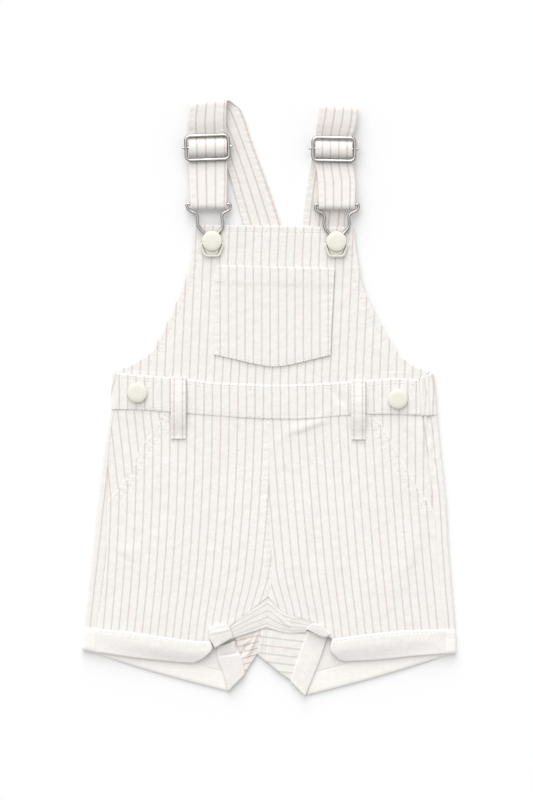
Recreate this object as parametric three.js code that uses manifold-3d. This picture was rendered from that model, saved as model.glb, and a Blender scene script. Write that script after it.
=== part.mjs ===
// Short dungarees for a toddler, laid flat on their back, in millimetres.
// X runs across the garment, Y from the hems up to the straps, Z up from the surface they lie on.
// The origin is under the middle of the outline. Left and right are as one looks at the front.
import * as THREE from "three";
import { mergeVertices } from "three/addons/utils/BufferGeometryUtils.js";
import Module from "manifold-3d";

// Driving dimensions
const CLOTH = 1.1;             // one layer of striped twill
const BACK_CLOTH = 1.2;        // the back panels that lie on the surface
const BAND_CLOTH = 1.8;        // folded waistband
const BACK_BAND_CLOTH = 1.6;   // back waistband with its elastic let go
const CUFF_CLOTH = 2.1;        // turned-up hem
const BACK_CUFF_CLOTH = 1.9;
const POCKET_CLOTH = 1.0;
const LOOP_CLOTH = 1.2;
const STRAP_CLOTH = 1.6;       // strap of two layers
const SEAM_GAP = 0.3;          // between pieces that meet or lie on each other
const SEAM_HEIGHT = 2.5;       // middle of the front cloth at the side seams
const BIB_LOFT = 0.3;          // how much the front rises from there at the bib
const WAIST_LOFT = 0.7;        // at the waist
const CROTCH_LOFT = 2.4;       // and at the crotch, where the folds lie under it
const BUTTON_SIZE = 15;
const CAP_THICKNESS = 2;
const BAR_THICKNESS = 2;       // hook wire and the slider's middle bar
const FRAME_THICKNESS = 2.3;   // slider wire
const HOOK_HEIGHT = 4.8;       // middle of the hook wire above the surface
const SLIDER_HEIGHT = 6.9;     // middle of the slider wire
const SLIDER_BAR_HEIGHT = 6;
const ROLL_RADIUS = 2.8;       // of the strap's fold at the top
const PLATE_THICKNESS = 0.8;   // enamelled plate inside the hook's lower loop
const BELLY = 1.4;             // how far the back hems bow down

const BUTTONS = [
  { name: "bib_button_left", x: -42.7, y: 118, lean: -2.6 },
  { name: "bib_button_right", x: 50.4, y: 117.7, lean: 0.3 },
  { name: "waist_button_left", x: -98.6, y: 4.6 },
  { name: "waist_button_right", x: 96.4, y: -0.1 },
];
const SLIDERS = [
  { name: "slider_left", x: -46.2, y: 187.8, width: 34.3, height: 20.4, tilt: 2 },
  { name: "slider_right", x: 48.4, y: 186.6, width: 33.6, height: 19.5, tilt: -1 },
];

const material = (color, roughness, metalness = 0) =>
  new THREE.MeshStandardMaterial({ color, roughness, metalness });
const striped = material(0xf9f5f1, 0.9);
const reverse = material(0xefede8, 0.92);
const enamel = material(0xf2efe3, 0.35);
const wire = material(0xa09993, 0.3, 1);

const garment = new THREE.Group();
garment.name = "short_dungarees";

function add(name, geometry, look) {
  geometry.deleteAttribute("normal");
  geometry.deleteAttribute("uv");
  const mesh = new THREE.Mesh(mergeVertices(geometry, 1e-3), look);
  mesh.name = name;
  garment.add(mesh);
  return mesh;
}

// Heights of the front

// Half the garment's width at a height y: the bib's sides above the waist, the legs' below.
function halfWidth(y) {
  if (y > 20) return THREE.MathUtils.mapLinear(Math.min(y, 130), 20, 130, 100, 60);
  return THREE.MathUtils.mapLinear(Math.max(y, -190), 20, -190, 118, 141);
}

// Middle of the front cloth: seam height at the sides, lofted towards the middle and the crotch.
function frontHeight(x, y) {
  const { smoothstep } = THREE.MathUtils;
  const inward = smoothstep(halfWidth(y) - Math.abs(x), 2, y > 20 ? 32 : 62);
  const waist = smoothstep(-y, -110, -10);
  const crotch = smoothstep(-y, 20, 150);
  const loft = BIB_LOFT + waist * (WAIST_LOFT - BIB_LOFT) + crotch * (CROTCH_LOFT - WAIST_LOFT);
  const crease = CREASES.reduce((sum, line) => sum + line.rise * nearness(line, x, y), 0);
  return SEAM_HEIGHT + inward * (loft + crease);
}

// Soft creases of the front, from one end to the other, with their rise and half-width.
const CREASES = [
  { from: [14, -26.2], to: [44.2, -16], rise: 0.5, spread: 5 },
  { from: [-129.8, -103.7], to: [-100.5, -119.5], rise: 0.6, spread: 5 },
  { from: [128.2, -101.5], to: [104.2, -123.7], rise: 0.6, spread: 6 },
  { from: [-30, -60], to: [-12, -135], rise: 0.5, spread: 9 },
  { from: [34, -62], to: [22, -138], rise: 0.5, spread: 9 },
];

// 1 on a crease line, falling to 0 at its spread and its ends.
function nearness({ from, to, spread }, x, y) {
  const along = new THREE.Vector2(to[0] - from[0], to[1] - from[1]);
  const offset = new THREE.Vector2(x - from[0], y - from[1]);
  const part = offset.dot(along) / along.lengthSq();
  const away = Math.abs(offset.cross(along)) / along.length();
  const ends = THREE.MathUtils.smoothstep(Math.min(part, 1 - part), -0.2, 0.3);
  return ends * Math.exp(-((away / spread) ** 2));
}

// Sheets of cloth

// A smooth line through [x, y] points, read by its share of length.
function lineThrough(points) {
  const curve = new THREE.CatmullRomCurve3(
    points.map(([x, y]) => new THREE.Vector3(x, y, 0)), false, "centripetal");
  return (share) => curve.getPointAt(share);
}

// Closed wall of one thickness about a grid of middle points, rows[i][j] being vectors.
function thicken(rows, thickness) {
  const count = rows.length;
  const across = rows[0].length;
  const sides = [[], []];
  rows.forEach((row, i) => row.forEach((point, j) => {
    const alongRows = new THREE.Vector3().subVectors(
      rows[Math.min(i + 1, count - 1)][j], rows[Math.max(i - 1, 0)][j]);
    const alongRow = new THREE.Vector3().subVectors(
      row[Math.min(j + 1, across - 1)], row[Math.max(j - 1, 0)]);
    const normal = alongRow.cross(alongRows).normalize().multiplyScalar(thickness / 2);
    sides[0].push(...new THREE.Vector3().addVectors(point, normal));
    sides[1].push(...new THREE.Vector3().subVectors(point, normal));
  }));
  const low = count * across;
  const index = [];
  const quad = (a, b, c, d) => index.push(a, b, c, a, c, d);
  for (let i = 0; i < count - 1; i++) {
    for (let j = 0; j < across - 1; j++) {
      const a = i * across + j;
      quad(a, a + 1, a + across + 1, a + across);
      quad(low + a, low + a + across, low + a + across + 1, low + a + 1);
    }
  }
  const rim = [];
  for (let j = 0; j < across - 1; j++) rim.push(j);
  for (let i = 0; i < count - 1; i++) rim.push(i * across + across - 1);
  for (let j = across - 1; j > 0; j--) rim.push((count - 1) * across + j);
  for (let i = count - 1; i > 0; i--) rim.push(i * across);
  rim.forEach((a, k) => {
    const b = rim[(k + 1) % rim.length];
    quad(b, a, low + a, low + b);
  });
  const geometry = new THREE.BufferGeometry();
  geometry.setAttribute("position", new THREE.Float32BufferAttribute(sides.flat(), 3));
  geometry.setIndex(index);
  return geometry;
}

// Panel between four edges (a Coons patch). left and right run downwards from corner to corner;
// top and bottom hold only the points between their corners, from left to right.
function panel({ left, right, top = [], bottom = [], rows, columns, height, thickness = CLOTH }) {
  const leftLine = lineThrough(left);
  const rightLine = lineThrough(right);
  const topLine = lineThrough([left[0], ...top, right[0]]);
  const bottomLine = lineThrough([left.at(-1), ...bottom, right.at(-1)]);
  const corners = [leftLine(0), rightLine(0), leftLine(1), rightLine(1)];
  const grid = [];
  for (let i = 0; i <= rows; i++) {
    const v = i / rows;
    const row = [];
    for (let j = 0; j <= columns; j++) {
      const u = j / columns;
      const point = leftLine(v).multiplyScalar(1 - u)
        .addScaledVector(rightLine(v), u)
        .addScaledVector(topLine(u), 1 - v)
        .addScaledVector(bottomLine(u), v)
        .addScaledVector(corners[0], -(1 - u) * (1 - v))
        .addScaledVector(corners[1], -u * (1 - v))
        .addScaledVector(corners[2], -(1 - u) * v)
        .addScaledVector(corners[3], -u * v);
      point.z = height(point.x, point.y, u, v);
      row.push(point);
    }
    grid.push(row);
  }
  return thicken(grid.reverse(), thickness);
}

// Points of one wrapped end: from the outline, round a half circle and in to the front seam.
function wrappedEnd(outline, seam, thickness, low, high, steps) {
  const side = Math.sign(outline[0]);
  const radius = (high - low) / 2;
  const centreX = outline[0] - side * (radius + thickness / 2);
  const points = [];
  for (let k = 0; k <= 5; k++) {
    const turn = (k / 5) * Math.PI;
    points.push(new THREE.Vector3(
      centreX + side * radius * Math.sin(turn), outline[1], low + radius * (1 - Math.cos(turn))));
  }
  for (let k = 1; k <= steps; k++) {
    points.push(new THREE.Vector3(
      THREE.MathUtils.lerp(centreX, seam[0], k / steps),
      THREE.MathUtils.lerp(outline[1], seam[1], k / steps), high));
  }
  return points;
}

// Back piece that lies flat and wraps over one side onto the front, from rows of
// inner end, outline and front seam. belly gives how far each row bows down.
function wrappedSheet(table, { columns, thickness, high, belly }) {
  const lines = ["inner", "outline", "seam"].map((key) => lineThrough(table.map((row) => row[key])));
  const count = table.length - 1;
  const grid = [];
  for (let i = 0; i <= count; i++) {
    const [inner, outline, seam] = lines.map((line) => line(i / count));
    const low = thickness / 2;
    const end = wrappedEnd([outline.x, outline.y], [seam.x, seam.y], thickness, low, high, 2);
    const row = [];
    for (let j = 0; j < columns; j++) {
      const u = j / columns;
      const point = new THREE.Vector3(inner.x, inner.y, low).lerp(end[0], u);
      point.y -= belly(i / count) * Math.sin(u * Math.PI);
      row.push(point);
    }
    grid.push([...row, ...end]);
  }
  return thicken(table[0].outline[0] > 0 ? grid.reverse() : grid, thickness);
}

// Back of the garment

function backLegs() {
  const left = [
    { inner: [0.8, -13.5], outline: [-118.9, -9], seam: [-116.6, -9] },
    { inner: [0.8, -40], outline: [-123.6, -37], seam: [-120.4, -37] },
    { inner: [0.8, -75], outline: [-128.2, -75.2], seam: [-121.4, -75] },
    { inner: [0.8, -110], outline: [-132.3, -113], seam: [-121.6, -112] },
    { inner: [-0.4, -146], outline: [-136.3, -148], seam: [-125.6, -148] },
    { inner: [-3.5, -184], outline: [-137.6, -160], seam: [-127.3, -160] },
    { inner: [-33, -201.5], outline: [-138.8, -170.6], seam: [-128.6, -171.2] },
  ];
  const right = [
    { inner: [1.2, -13.5], outline: [126.2, -13.8], seam: [114.3, -13.8] },
    { inner: [1.2, -40], outline: [129, -41.5], seam: [118.7, -41.5] },
    { inner: [1.2, -75], outline: [132.6, -76], seam: [122.9, -76] },
    { inner: [1.2, -110], outline: [134.7, -112], seam: [125.9, -112] },
    { inner: [2, -146], outline: [137.5, -148], seam: [128.9, -148] },
    { inner: [-2.4, -186], outline: [138.6, -160], seam: [130.4, -160] },
    { inner: [24, -206.2], outline: [139.5, -172.1], seam: [132, -172.4] },
  ];
  const sizes = { columns: 6, thickness: BACK_CLOTH, high: SEAM_HEIGHT, belly: (v) => BELLY * v ** 6 };
  add("back_leg_left", wrappedSheet(left, sizes), striped);
  add("back_leg_right", wrappedSheet(right, sizes), striped);
}

function backCuffs() {
  const left = [
    { inner: [-36.2, -202.9], outline: [-138.9, -171.6], seam: [-129, -172.2] },
    { inner: [-34, -211], outline: [-139.8, -180], seam: [-129.2, -181] },
    { inner: [-31.6, -219.6], outline: [-140.6, -188.3], seam: [-129.4, -190] },
  ];
  const right = [
    { inner: [35.4, -203.4], outline: [139.6, -172.6], seam: [132.3, -173] },
    { inner: [32, -213.5], outline: [140.2, -181.6], seam: [132.5, -182] },
    { inner: [28.4, -222.4], outline: [140.6, -190.6], seam: [132.8, -191.2] },
  ];
  const sizes = { columns: 6, thickness: BACK_CUFF_CLOTH, high: SEAM_HEIGHT + 0.75, belly: () => BELLY };
  add("back_cuff_left", wrappedSheet(left, sizes), reverse);
  add("back_cuff_right", wrappedSheet(right, sizes), reverse);
}

// Back waistband, flat below and wrapped over both sides, with its gathers on the right wrap.
function backWaistband() {
  const low = BACK_BAND_CLOTH / 2;
  const high = SEAM_HEIGHT + (BAND_CLOTH - CLOTH) / 2;
  const table = [
    { left: [-117.6, 19.6], leftSeam: [-115.2, 19.6], right: [123.6, 19.2], rightSeam: [113.4, 15.2] },
    { left: [-118.2, 6], leftSeam: [-115.8, 6], right: [125, 5], rightSeam: [114.4, 5] },
    { left: [-118.8, -8.4], leftSeam: [-116.4, -8.4], right: [126.2, -12.8], rightSeam: [113.9, -12.8] },
  ];
  const grid = table.map((row) => {
    const left = wrappedEnd(row.left, row.leftSeam, BACK_BAND_CLOTH, low, high, 1).reverse();
    const right = wrappedEnd(row.right, row.rightSeam, BACK_BAND_CLOTH, low, high, 6);
    right.slice(6).forEach((point, k) => {
      point.z += k % 2 ? 0 : 0.45;
    });
    const flat = [];
    for (let j = 1; j < 12; j++) flat.push(left.at(-1).clone().lerp(right[0], j / 12));
    return [...left, ...flat, ...right];
  });
  add("back_waistband", thicken(grid.reverse(), BACK_BAND_CLOTH), striped);
}

function backBib() {
  const bib = {
    left: [[-9, 94.9], [-24, 74], [-50, 44], [-84, 26], [-112, 20.2]],
    right: [[52, 94.9], [62, 74], [80, 46], [96, 28], [118, 20]],
    rows: 5, columns: 5, thickness: BACK_CLOTH, height: () => BACK_CLOTH / 2,
  };
  add("back_bib", panel(bib), striped);
}

// Front of the garment

function frontLegs() {
  const left = {
    left: [[-79.5, -11], [-86, -23.5], [-94.1, -34.2], [-104, -52.7], [-111.1, -65.2], [-119.4, -76],
      [-120.6, -90], [-120.9, -112], [-124.9, -148], [-128.3, -171.8]],
    right: [[0.7, -15.7], [-0.6, -37], [-0.9, -65.5], [0.6, -91], [1.1, -142], [-1.2, -148.2]],
    top: [[-58.9, -12.2], [-33.8, -14.1]],
    bottom: [[-111, -173.2], [-76.5, -178], [-53.6, -180.9], [-43, -181.2], [-28.5, -169.4], [-14.2, -158.6]],
    rows: 14, columns: 10, height: frontHeight,
  };
  const right = {
    left: [[1.3, -15.7], [0, -37], [-0.2, -65.5], [1.2, -91], [1.7, -142], [-0.5, -148.2]],
    right: [[77, -12.2], [86.1, -23], [91, -31], [97.2, -43], [105, -56], [113.2, -70.4], [122.2, -83],
      [125, -111], [128.2, -148], [131.5, -172.2]],
    top: [[23.2, -16.1], [61, -13.1]],
    bottom: [[10.7, -159.6], [27.2, -165.4], [34, -168], [46.6, -178.4], [58, -177.4],
      [70.8, -176.1], [99.5, -173.1]],
    rows: 14, columns: 10, height: frontHeight,
  };
  add("front_leg_left", panel(left), striped);
  add("front_leg_right", panel(right), striped);
}

// Facings that show between each slanted pocket opening and the side seam.
function pocketFacings() {
  const height = (x, y) => frontHeight(x, y) - 0.15;
  const left = {
    left: [[-116.1, -9], [-119.7, -37], [-120.1, -50], [-120.4, -62], [-120.6, -72]],
    right: [[-80.3, -11.2], [-87.2, -24.5], [-95.3, -35.6], [-105, -53.7], [-112.5, -66.5], [-120.1, -75.2]],
    rows: 8, columns: 2, height,
  };
  const right = {
    left: [[77.7, -12.6], [86.8, -23.2], [91.7, -31.2], [97.9, -43.2], [105.7, -56.2], [113.9, -70.6],
      [121.6, -80.4]],
    right: [[113.6, -13.4], [118.2, -41.5], [119.8, -56], [122.2, -78.6]],
    rows: 8, columns: 2, height,
  };
  add("pocket_facing_left", panel(left), striped);
  add("pocket_facing_right", panel(right), striped);
}

function frontWaistband() {
  const band = {
    left: [[-114.8, 19.6], [-115.4, 6], [-115.9, -8.2]],
    right: [[112, 14.6], [113.6, 2], [113.3, -12.6]],
    top: [[-88.1, 17.3], [-61.9, 15.2], [-43.9, 12.8], [-3.8, 10.8], [30.8, 11.2], [60.8, 13.2], [97.2, 15.6]],
    bottom: [[-94.1, -8.7], [-58.9, -11.5], [-33.8, -13.5], [-3.8, -15.1], [23.2, -15.5], [61, -12.5],
      [86.1, -11.7]],
    rows: 2, columns: 24, thickness: BAND_CLOTH,
    height: (x, y) => frontHeight(x, y) + (BAND_CLOTH - CLOTH) / 2,
  };
  add("front_waistband", panel(band), striped);
}

function frontBib() {
  const bib = {
    left: [[-55.6, 130.3], [-56.8, 113], [-59.4, 99.5], [-63.1, 87.7], [-70.5, 69.9], [-81.8, 46.3],
      [-89, 34.5], [-96.1, 29.5], [-104.1, 25], [-116.6, 20.4]],
    right: [[63.7, 128.5], [65.1, 112.9], [67.4, 98], [69.6, 86.2], [78.5, 65.5], [90, 44.8], [97.6, 33.5],
      [104.2, 27.5], [112.4, 23], [121.2, 20.2]],
    top: [],
    bottom: [[-88.1, 17.9], [-61.9, 15.8], [-43.9, 13.4], [-3.8, 11.4], [30.8, 11.8], [60.8, 13.8],
      [97.2, 16.2], [112, 15.9]],
    rows: 10, columns: 12, height: frontHeight,
  };
  add("front_bib", panel(bib), striped);
}

function bibPocket() {
  const lift = (CLOTH + POCKET_CLOTH) / 2 + SEAM_GAP;
  const pocket = {
    left: [[-38.6, 99.9], [-40.6, 88.3], [-41.1, 59], [-41.3, 32.9]],
    right: [[49.1, 97.6], [48, 76.3], [46.9, 54.5], [46.1, 32.6]],
    bottom: [[-24, 29], [-15, 26.8], [2.2, 23.9], [14.2, 25], [27, 27.9]],
    rows: 6, columns: 8, thickness: POCKET_CLOTH,
    height: (x, y, u, v) => frontHeight(x, y) + lift + 0.8 * Math.sin(u * Math.PI) * (1 - v) ** 3,
  };
  add("bib_pocket", panel(pocket), striped);
}

// Belt loops stand off the waistband and come down onto the legs.
function beltLoops() {
  const onBand = BAND_CLOTH - CLOTH / 2 + SEAM_GAP + LOOP_CLOTH / 2;
  const onLeg = CLOTH / 2 + SEAM_GAP + LOOP_CLOTH / 2;
  const loops = [
    { name: "belt_loop_left", x: -67.9, width: 11.2, top: 16.3, bottom: -30.2 },
    { name: "belt_loop_right", x: 66.8, width: 10.6, top: 14, bottom: -30.8 },
  ];
  for (const { name, x, width, top, bottom } of loops) {
    const edge = (side) => [[x + (side * width) / 2, top], [x + (side * width) / 2, bottom]];
    const height = (px, py, u, v) => {
      const down = THREE.MathUtils.smoothstep(v, 0.62, 0.95);
      const arch = 1.6 * Math.sin(Math.min(v / 0.92, 1) * Math.PI);
      return frontHeight(px, py) + THREE.MathUtils.lerp(onBand, onLeg, down) + arch;
    };
    const loop = { left: edge(-1), right: edge(1), rows: 12, columns: 2, thickness: LOOP_CLOTH, height };
    add(name, panel(loop), striped);
  }
}

function frontCuffs() {
  const height = (x, y) => frontHeight(x, y) + (CUFF_CLOTH - CLOTH) / 2;
  const left = {
    left: [[-128.3, -172.3], [-128.8, -190]],
    right: [[-43.5, -181.8], [-42.3, -187], [-49.8, -194.6], [-57.4, -198.1]],
    top: [[-111, -173.7], [-76.5, -178.5], [-53.6, -181.4]],
    bottom: [[-101.4, -194], [-72.8, -196.9]],
    rows: 2, columns: 8, thickness: CUFF_CLOTH, height,
  };
  const right = {
    left: [[47.2, -179.6], [46, -187.9], [51.7, -194.6], [56.4, -196.6]],
    right: [[131.6, -172.8], [132.1, -191.1]],
    top: [[58, -178.3], [70.8, -176.6], [99.5, -173.6]],
    bottom: [[80.2, -195.6], [109, -192.8]],
    rows: 2, columns: 8, thickness: CUFF_CLOTH, height,
  };
  add("front_cuff_left", panel(left), reverse);
  add("front_cuff_right", panel(right), reverse);
}

// Folds at the crotch, where both inseams are folded up towards the viewer.
// Each has its four edges, the height of its middle and how far it bulges.
const FOLDS = [
  {
    name: "inseam_fold_left", z: 3.5, bulge: 0.35, look: striped,
    left: [[-30, -167.4], [-39.4, -185.2]], right: [[-1.1, -146.4], [-1.1, -158], [-1.6, -171]],
    bottom: [[-27, -179.5], [-6, -172.7]],
  },
  {
    name: "inseam_fold_right", z: 3.5, bulge: 0.35, look: striped,
    left: [[-0.5, -146.4], [-0.6, -158], [-0.9, -171.6]], right: [[33.6, -167], [27.4, -174.8]],
    top: [[10.5, -158.1], [27.8, -163.7]], bottom: [[12.8, -175.4]],
  },
  {
    name: "back_inseam_left", z: 2.05, bulge: 0, look: striped,
    left: [[-24.6, -176.5], [-20.2, -192.2], [-17.2, -205]], right: [[-5.3, -170.5], [-9.2, -190.7]],
    bottom: [[-12.8, -197.2]],
  },
  {
    name: "back_inseam_right", z: 2.05, bulge: 0, look: striped,
    left: [[-4.8, -171.2], [-8.7, -191]], right: [[27.6, -173.3], [20.6, -193.7], [15, -211]],
    bottom: [[-4.8, -194.8], [1.5, -199.9], [8.6, -206]],
  },
  {
    name: "low_cuff_tab_left", z: 2.5, bulge: 0.25, look: reverse, thickness: BACK_CUFF_CLOTH,
    left: [[-39.2, -186.9], [-38.5, -195.1], [-34.5, -205.2], [-30.9, -219.5]],
    right: [[-25.6, -182.9], [-24.8, -187.9], [-21.3, -192.2], [-19, -200.9], [-18, -206.5]],
  },
  {
    name: "low_cuff_tab_right", z: 2.5, bulge: 0.25, look: reverse, thickness: BACK_CUFF_CLOTH,
    left: [[28.3, -175.2], [21.5, -193.7], [15.8, -211.7]],
    right: [[43.7, -179.3], [39.4, -192.2], [27.2, -223.1]],
  },
  {
    name: "top_cuff_tab_left", z: 7.2, bulge: 0.3, look: reverse, thickness: BACK_CUFF_CLOTH,
    left: [[-45.3, -172.2], [-44.6, -179.3], [-40.3, -186.5]], right: [[-29.5, -170.8], [-27, -178.6]],
    top: [[-39.5, -168.6], [-32.4, -168.6]],
  },
  {
    name: "top_cuff_tab_right", z: 7.1, bulge: 0.2, look: reverse, thickness: BACK_CUFF_CLOTH,
    left: [[32.2, -167.9], [27.2, -172.2]], right: [[38.7, -168.6], [46.5, -176.5]],
    bottom: [[31.5, -174.3], [41.5, -178.6]],
  },
];

function crotchFolds() {
  for (const { name, z, bulge, look, ...edges } of FOLDS) {
    const height = (x, y, u, v) => z + bulge * Math.sin(u * Math.PI) * Math.sin(v * Math.PI);
    add(name, panel({ rows: 4, columns: 4, height, ...edges }), look);
  }
}

// Straps

const OVER = BAR_THICKNESS / 2 + SEAM_GAP + STRAP_CLOTH / 2;
const UNDER = FRAME_THICKNESS / 2 + SEAM_GAP + STRAP_CLOTH / 2 + 0.15;
const LIE = STRAP_CLOTH / 2;

// A strap's course: its left and right edge and the height of its middle, from the back bib over the
// top fold, through the slider, round the hook's bar and back up to the slider.
const STRAPS = [
  {
    name: "strap_left",
    course: [
      { at: "back bib", left: [-9.4, 95.3], right: [19.1, 95.3], z: LIE },
      { at: "bib edge", left: [-19.4, 130.7], right: [9.4, 130.7], z: LIE },
      { at: "crossing", left: [-29.8, 167.8], right: [-3, 167.8], z: LIE },
      { at: "behind slider", left: [-37.5, 191], right: [-11.6, 191], z: LIE },
      { at: "below fold", left: [-45.5, 207], right: [-17.8, 207.5], z: LIE },
      { at: "top fold", left: [-59, 216.9], right: [-28.4, 220.1], z: ROLL_RADIUS + LIE, fold: ROLL_RADIUS,
        start: [8.5, 3] },
      { at: "front", left: [-60.6, 207.5], right: [-32.2, 208.3], z: 6 },
      { at: "top wire", left: [-60.4, 197], right: [-31.8, 197.9], z: SLIDER_HEIGHT - UNDER, rest: 1.4 },
      { at: "middle bar", left: [-60, 187.4], right: [-31.5, 188.2], z: SLIDER_BAR_HEIGHT + OVER, rest: 1 },
      { at: "bottom wire", left: [-60, 178.4], right: [-31.2, 179.3], z: SLIDER_HEIGHT - UNDER, rest: 1.4 },
      { at: "below slider", left: [-59.6, 164], right: [-31.4, 164], z: 5.6 },
      { at: "hook bar", left: [-58.8, 144.8], right: [-31.8, 144.8], z: HOOK_HEIGHT, fold: OVER, start: [0, 0] },
      { at: "under layer", left: [-59.4, 164], right: [-31.6, 164], z: 2.7 },
      { at: "end", left: [-60, 184.6], right: [-31.8, 184.6], z: 2.7 },
    ],
  },
  {
    name: "strap_right",
    course: [
      { at: "back bib", left: [20.6, 95.3], right: [52.1, 95.3], z: LIE },
      { at: "bib edge", left: [24.5, 129.7], right: [56.2, 129.7], z: LIE },
      { at: "crossing", left: [28.4, 160], right: [58.6, 160], z: LIE },
      { at: "behind slider", left: [33, 188], right: [61.8, 188], z: LIE },
      { at: "below fold", left: [36.4, 207.6], right: [64.6, 206.6], z: LIE },
      { at: "top fold", left: [37.6, 217.2], right: [66, 215.5], z: ROLL_RADIUS + LIE, fold: ROLL_RADIUS,
        start: [0, 0] },
      { at: "front", left: [35.8, 206.5], right: [65.2, 206], z: 6 },
      { at: "top wire", left: [34.6, 195.3], right: [62.4, 194.7], z: SLIDER_HEIGHT - UNDER, rest: 1.4 },
      { at: "middle bar", left: [34.7, 186.8], right: [62.3, 186.4], z: SLIDER_BAR_HEIGHT + OVER, rest: 1 },
      { at: "bottom wire", left: [34.8, 178], right: [62.4, 177.6], z: SLIDER_HEIGHT - UNDER, rest: 1.4 },
      { at: "below slider", left: [36.6, 163], right: [64.6, 163], z: 5.6 },
      { at: "hook bar", left: [37.2, 144.6], right: [64.2, 144.6], z: HOOK_HEIGHT, fold: OVER, start: [0, 0] },
      { at: "under layer", left: [37, 163], right: [64.6, 163], z: 2.7 },
      { at: "end", left: [35, 183.8], right: [62.6, 183.4], z: 2.7 },
    ],
  },
];

// Stations of a course, each fold being a half circle about its middle point. A fold at the top turns
// up and over, and one at the bottom turns down and under. start moves the fold's first stations along,
// and rest keeps the strap level on both sides of a wire.
function stations(course) {
  const list = [];
  course.forEach(({ left, right, z, fold, start, rest }) => {
    if (!fold) {
      (rest ? [rest, -rest] : [0]).forEach((up) => list.push([left, right].map(
        ([x, y]) => new THREE.Vector3(x, y + up, z))));
      return;
    }
    const up = left[1] > 180 ? 1 : -1;
    for (let k = 0; k <= 6; k++) {
      const turn = (k / 6) * Math.PI;
      const drift = (1 - k / 6) ** 2;
      list.push([left, right].map(([x, y]) => new THREE.Vector3(
        x + start[0] * drift, y + up * fold * Math.sin(turn) - start[1] * drift,
        z - up * fold * Math.cos(turn))));
    }
  });
  return list;
}

function straps() {
  for (const { name, course } of STRAPS) {
    const rails = [0, 1].map((side) => new THREE.CatmullRomCurve3(
      stations(course).map((pair) => pair[side]), false, "centripetal"));
    const count = (stations(course).length - 1) * 2;
    const grid = [];
    for (let i = 0; i <= count; i++) {
      const [left, right] = rails.map((rail) => rail.getPoint(i / count));
      left.z = Math.max(left.z, LIE);
      right.z = Math.max(right.z, LIE);
      grid.push([left, left.clone().lerp(right, 0.5), right]);
    }
    add(name, thicken(grid, STRAP_CLOTH), striped);
  }
}

// Metal

// Solid for joining, from a geometry or a placed mesh.
function solid(wasm, geometry) {
  geometry.deleteAttribute("normal");
  geometry.deleteAttribute("uv");
  const merged = mergeVertices(geometry, 1e-3);
  return new wasm.Manifold(new wasm.Mesh({
    numProp: 3,
    vertProperties: merged.attributes.position.array,
    triVerts: new Uint32Array(merged.index.array),
  }));
}

// Corner points of a rectangle with round corners, for a wire bent along them.
function roundedFrame(width, height, radius) {
  const points = [];
  for (let corner = 0; corner < 4; corner++) {
    const sideX = corner === 0 || corner === 3 ? 1 : -1;
    const sideY = corner < 2 ? 1 : -1;
    for (let k = 0; k <= 4; k++) {
      const turn = ((corner + k / 4) * Math.PI) / 2;
      points.push(new THREE.Vector3(
        sideX * (width / 2 - radius) + radius * Math.cos(turn),
        sideY * (height / 2 - radius) + radius * Math.sin(turn), 0));
    }
  }
  return new THREE.CatmullRomCurve3(points, true, "centripetal");
}

// Slider: a bent wire frame with a middle bar whose ends lap over its sides.
async function sliders() {
  const wasm = await Module();
  wasm.setup();
  for (const { name, x, y, width, height, tilt } of SLIDERS) {
    const course = roundedFrame(width - FRAME_THICKNESS, height - FRAME_THICKNESS, 3);
    const frame = new THREE.TubeGeometry(course, 40, FRAME_THICKNESS / 2, 7, true);
    const bar = new THREE.CylinderGeometry(BAR_THICKNESS / 2, BAR_THICKNESS / 2, width + 4, 10);
    bar.rotateZ(Math.PI / 2);
    bar.translate(0, 0.4, SLIDER_BAR_HEIGHT - SLIDER_HEIGHT);
    const joined = solid(wasm, frame).add(solid(wasm, bar)).getMesh();
    const geometry = new THREE.BufferGeometry();
    geometry.setAttribute("position", new THREE.BufferAttribute(joined.vertProperties, 3));
    geometry.setIndex(new THREE.BufferAttribute(joined.triVerts, 1));
    const slider = add(name, geometry, wire);
    slider.position.set(x, y, SLIDER_HEIGHT);
    slider.rotation.z = THREE.MathUtils.degToRad(tilt);
  }
}

// Hook wire from the middle of its bar down one side, about the button's centre. Above the button
// the wire leans to one side, and its bar is off centre by the button's lean.
const HOOK_BAR = 26.8;
const HOOK_SIDE = [
  [0, HOOK_BAR], [7, HOOK_BAR], [12.8, HOOK_BAR], [15.2, 26.6], [15.9, 25.4], [15.4, 23.8], [13.6, 22.4],
  [11.2, 21.4], [9.7, 20], [9.1, 17.8], [9.4, 15], [9.4, 12.2], [8.4, 9.6], [6.2, 7], [4.2, 5], [3.4, 3],
  [4.4, 1], [6.6, -0.6], [7.8, -2.6], [7, -5], [6.1, -7.8], [4.4, -9.9], [2.6, -10.7],
];

function hooks() {
  for (const { name, x, y, lean } of BUTTONS.slice(0, 2)) {
    const side = name.split("_").at(-1);
    const left = HOOK_SIDE.slice(1).reverse().map(([dx, up]) => [-dx, up]);
    const points = [...HOOK_SIDE, [0, -10.8], ...left];
    const course = new THREE.CatmullRomCurve3(points.map(([dx, up]) => new THREE.Vector3(
      dx + (lean * Math.max(up, 0)) / HOOK_BAR, up, 0)), true, "centripetal");
    const hook = add("hook_" + side, new THREE.TubeGeometry(course, 66, BAR_THICKNESS / 2, 6, true), wire);
    hook.position.set(x, y, HOOK_HEIGHT);
  }
}

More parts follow.
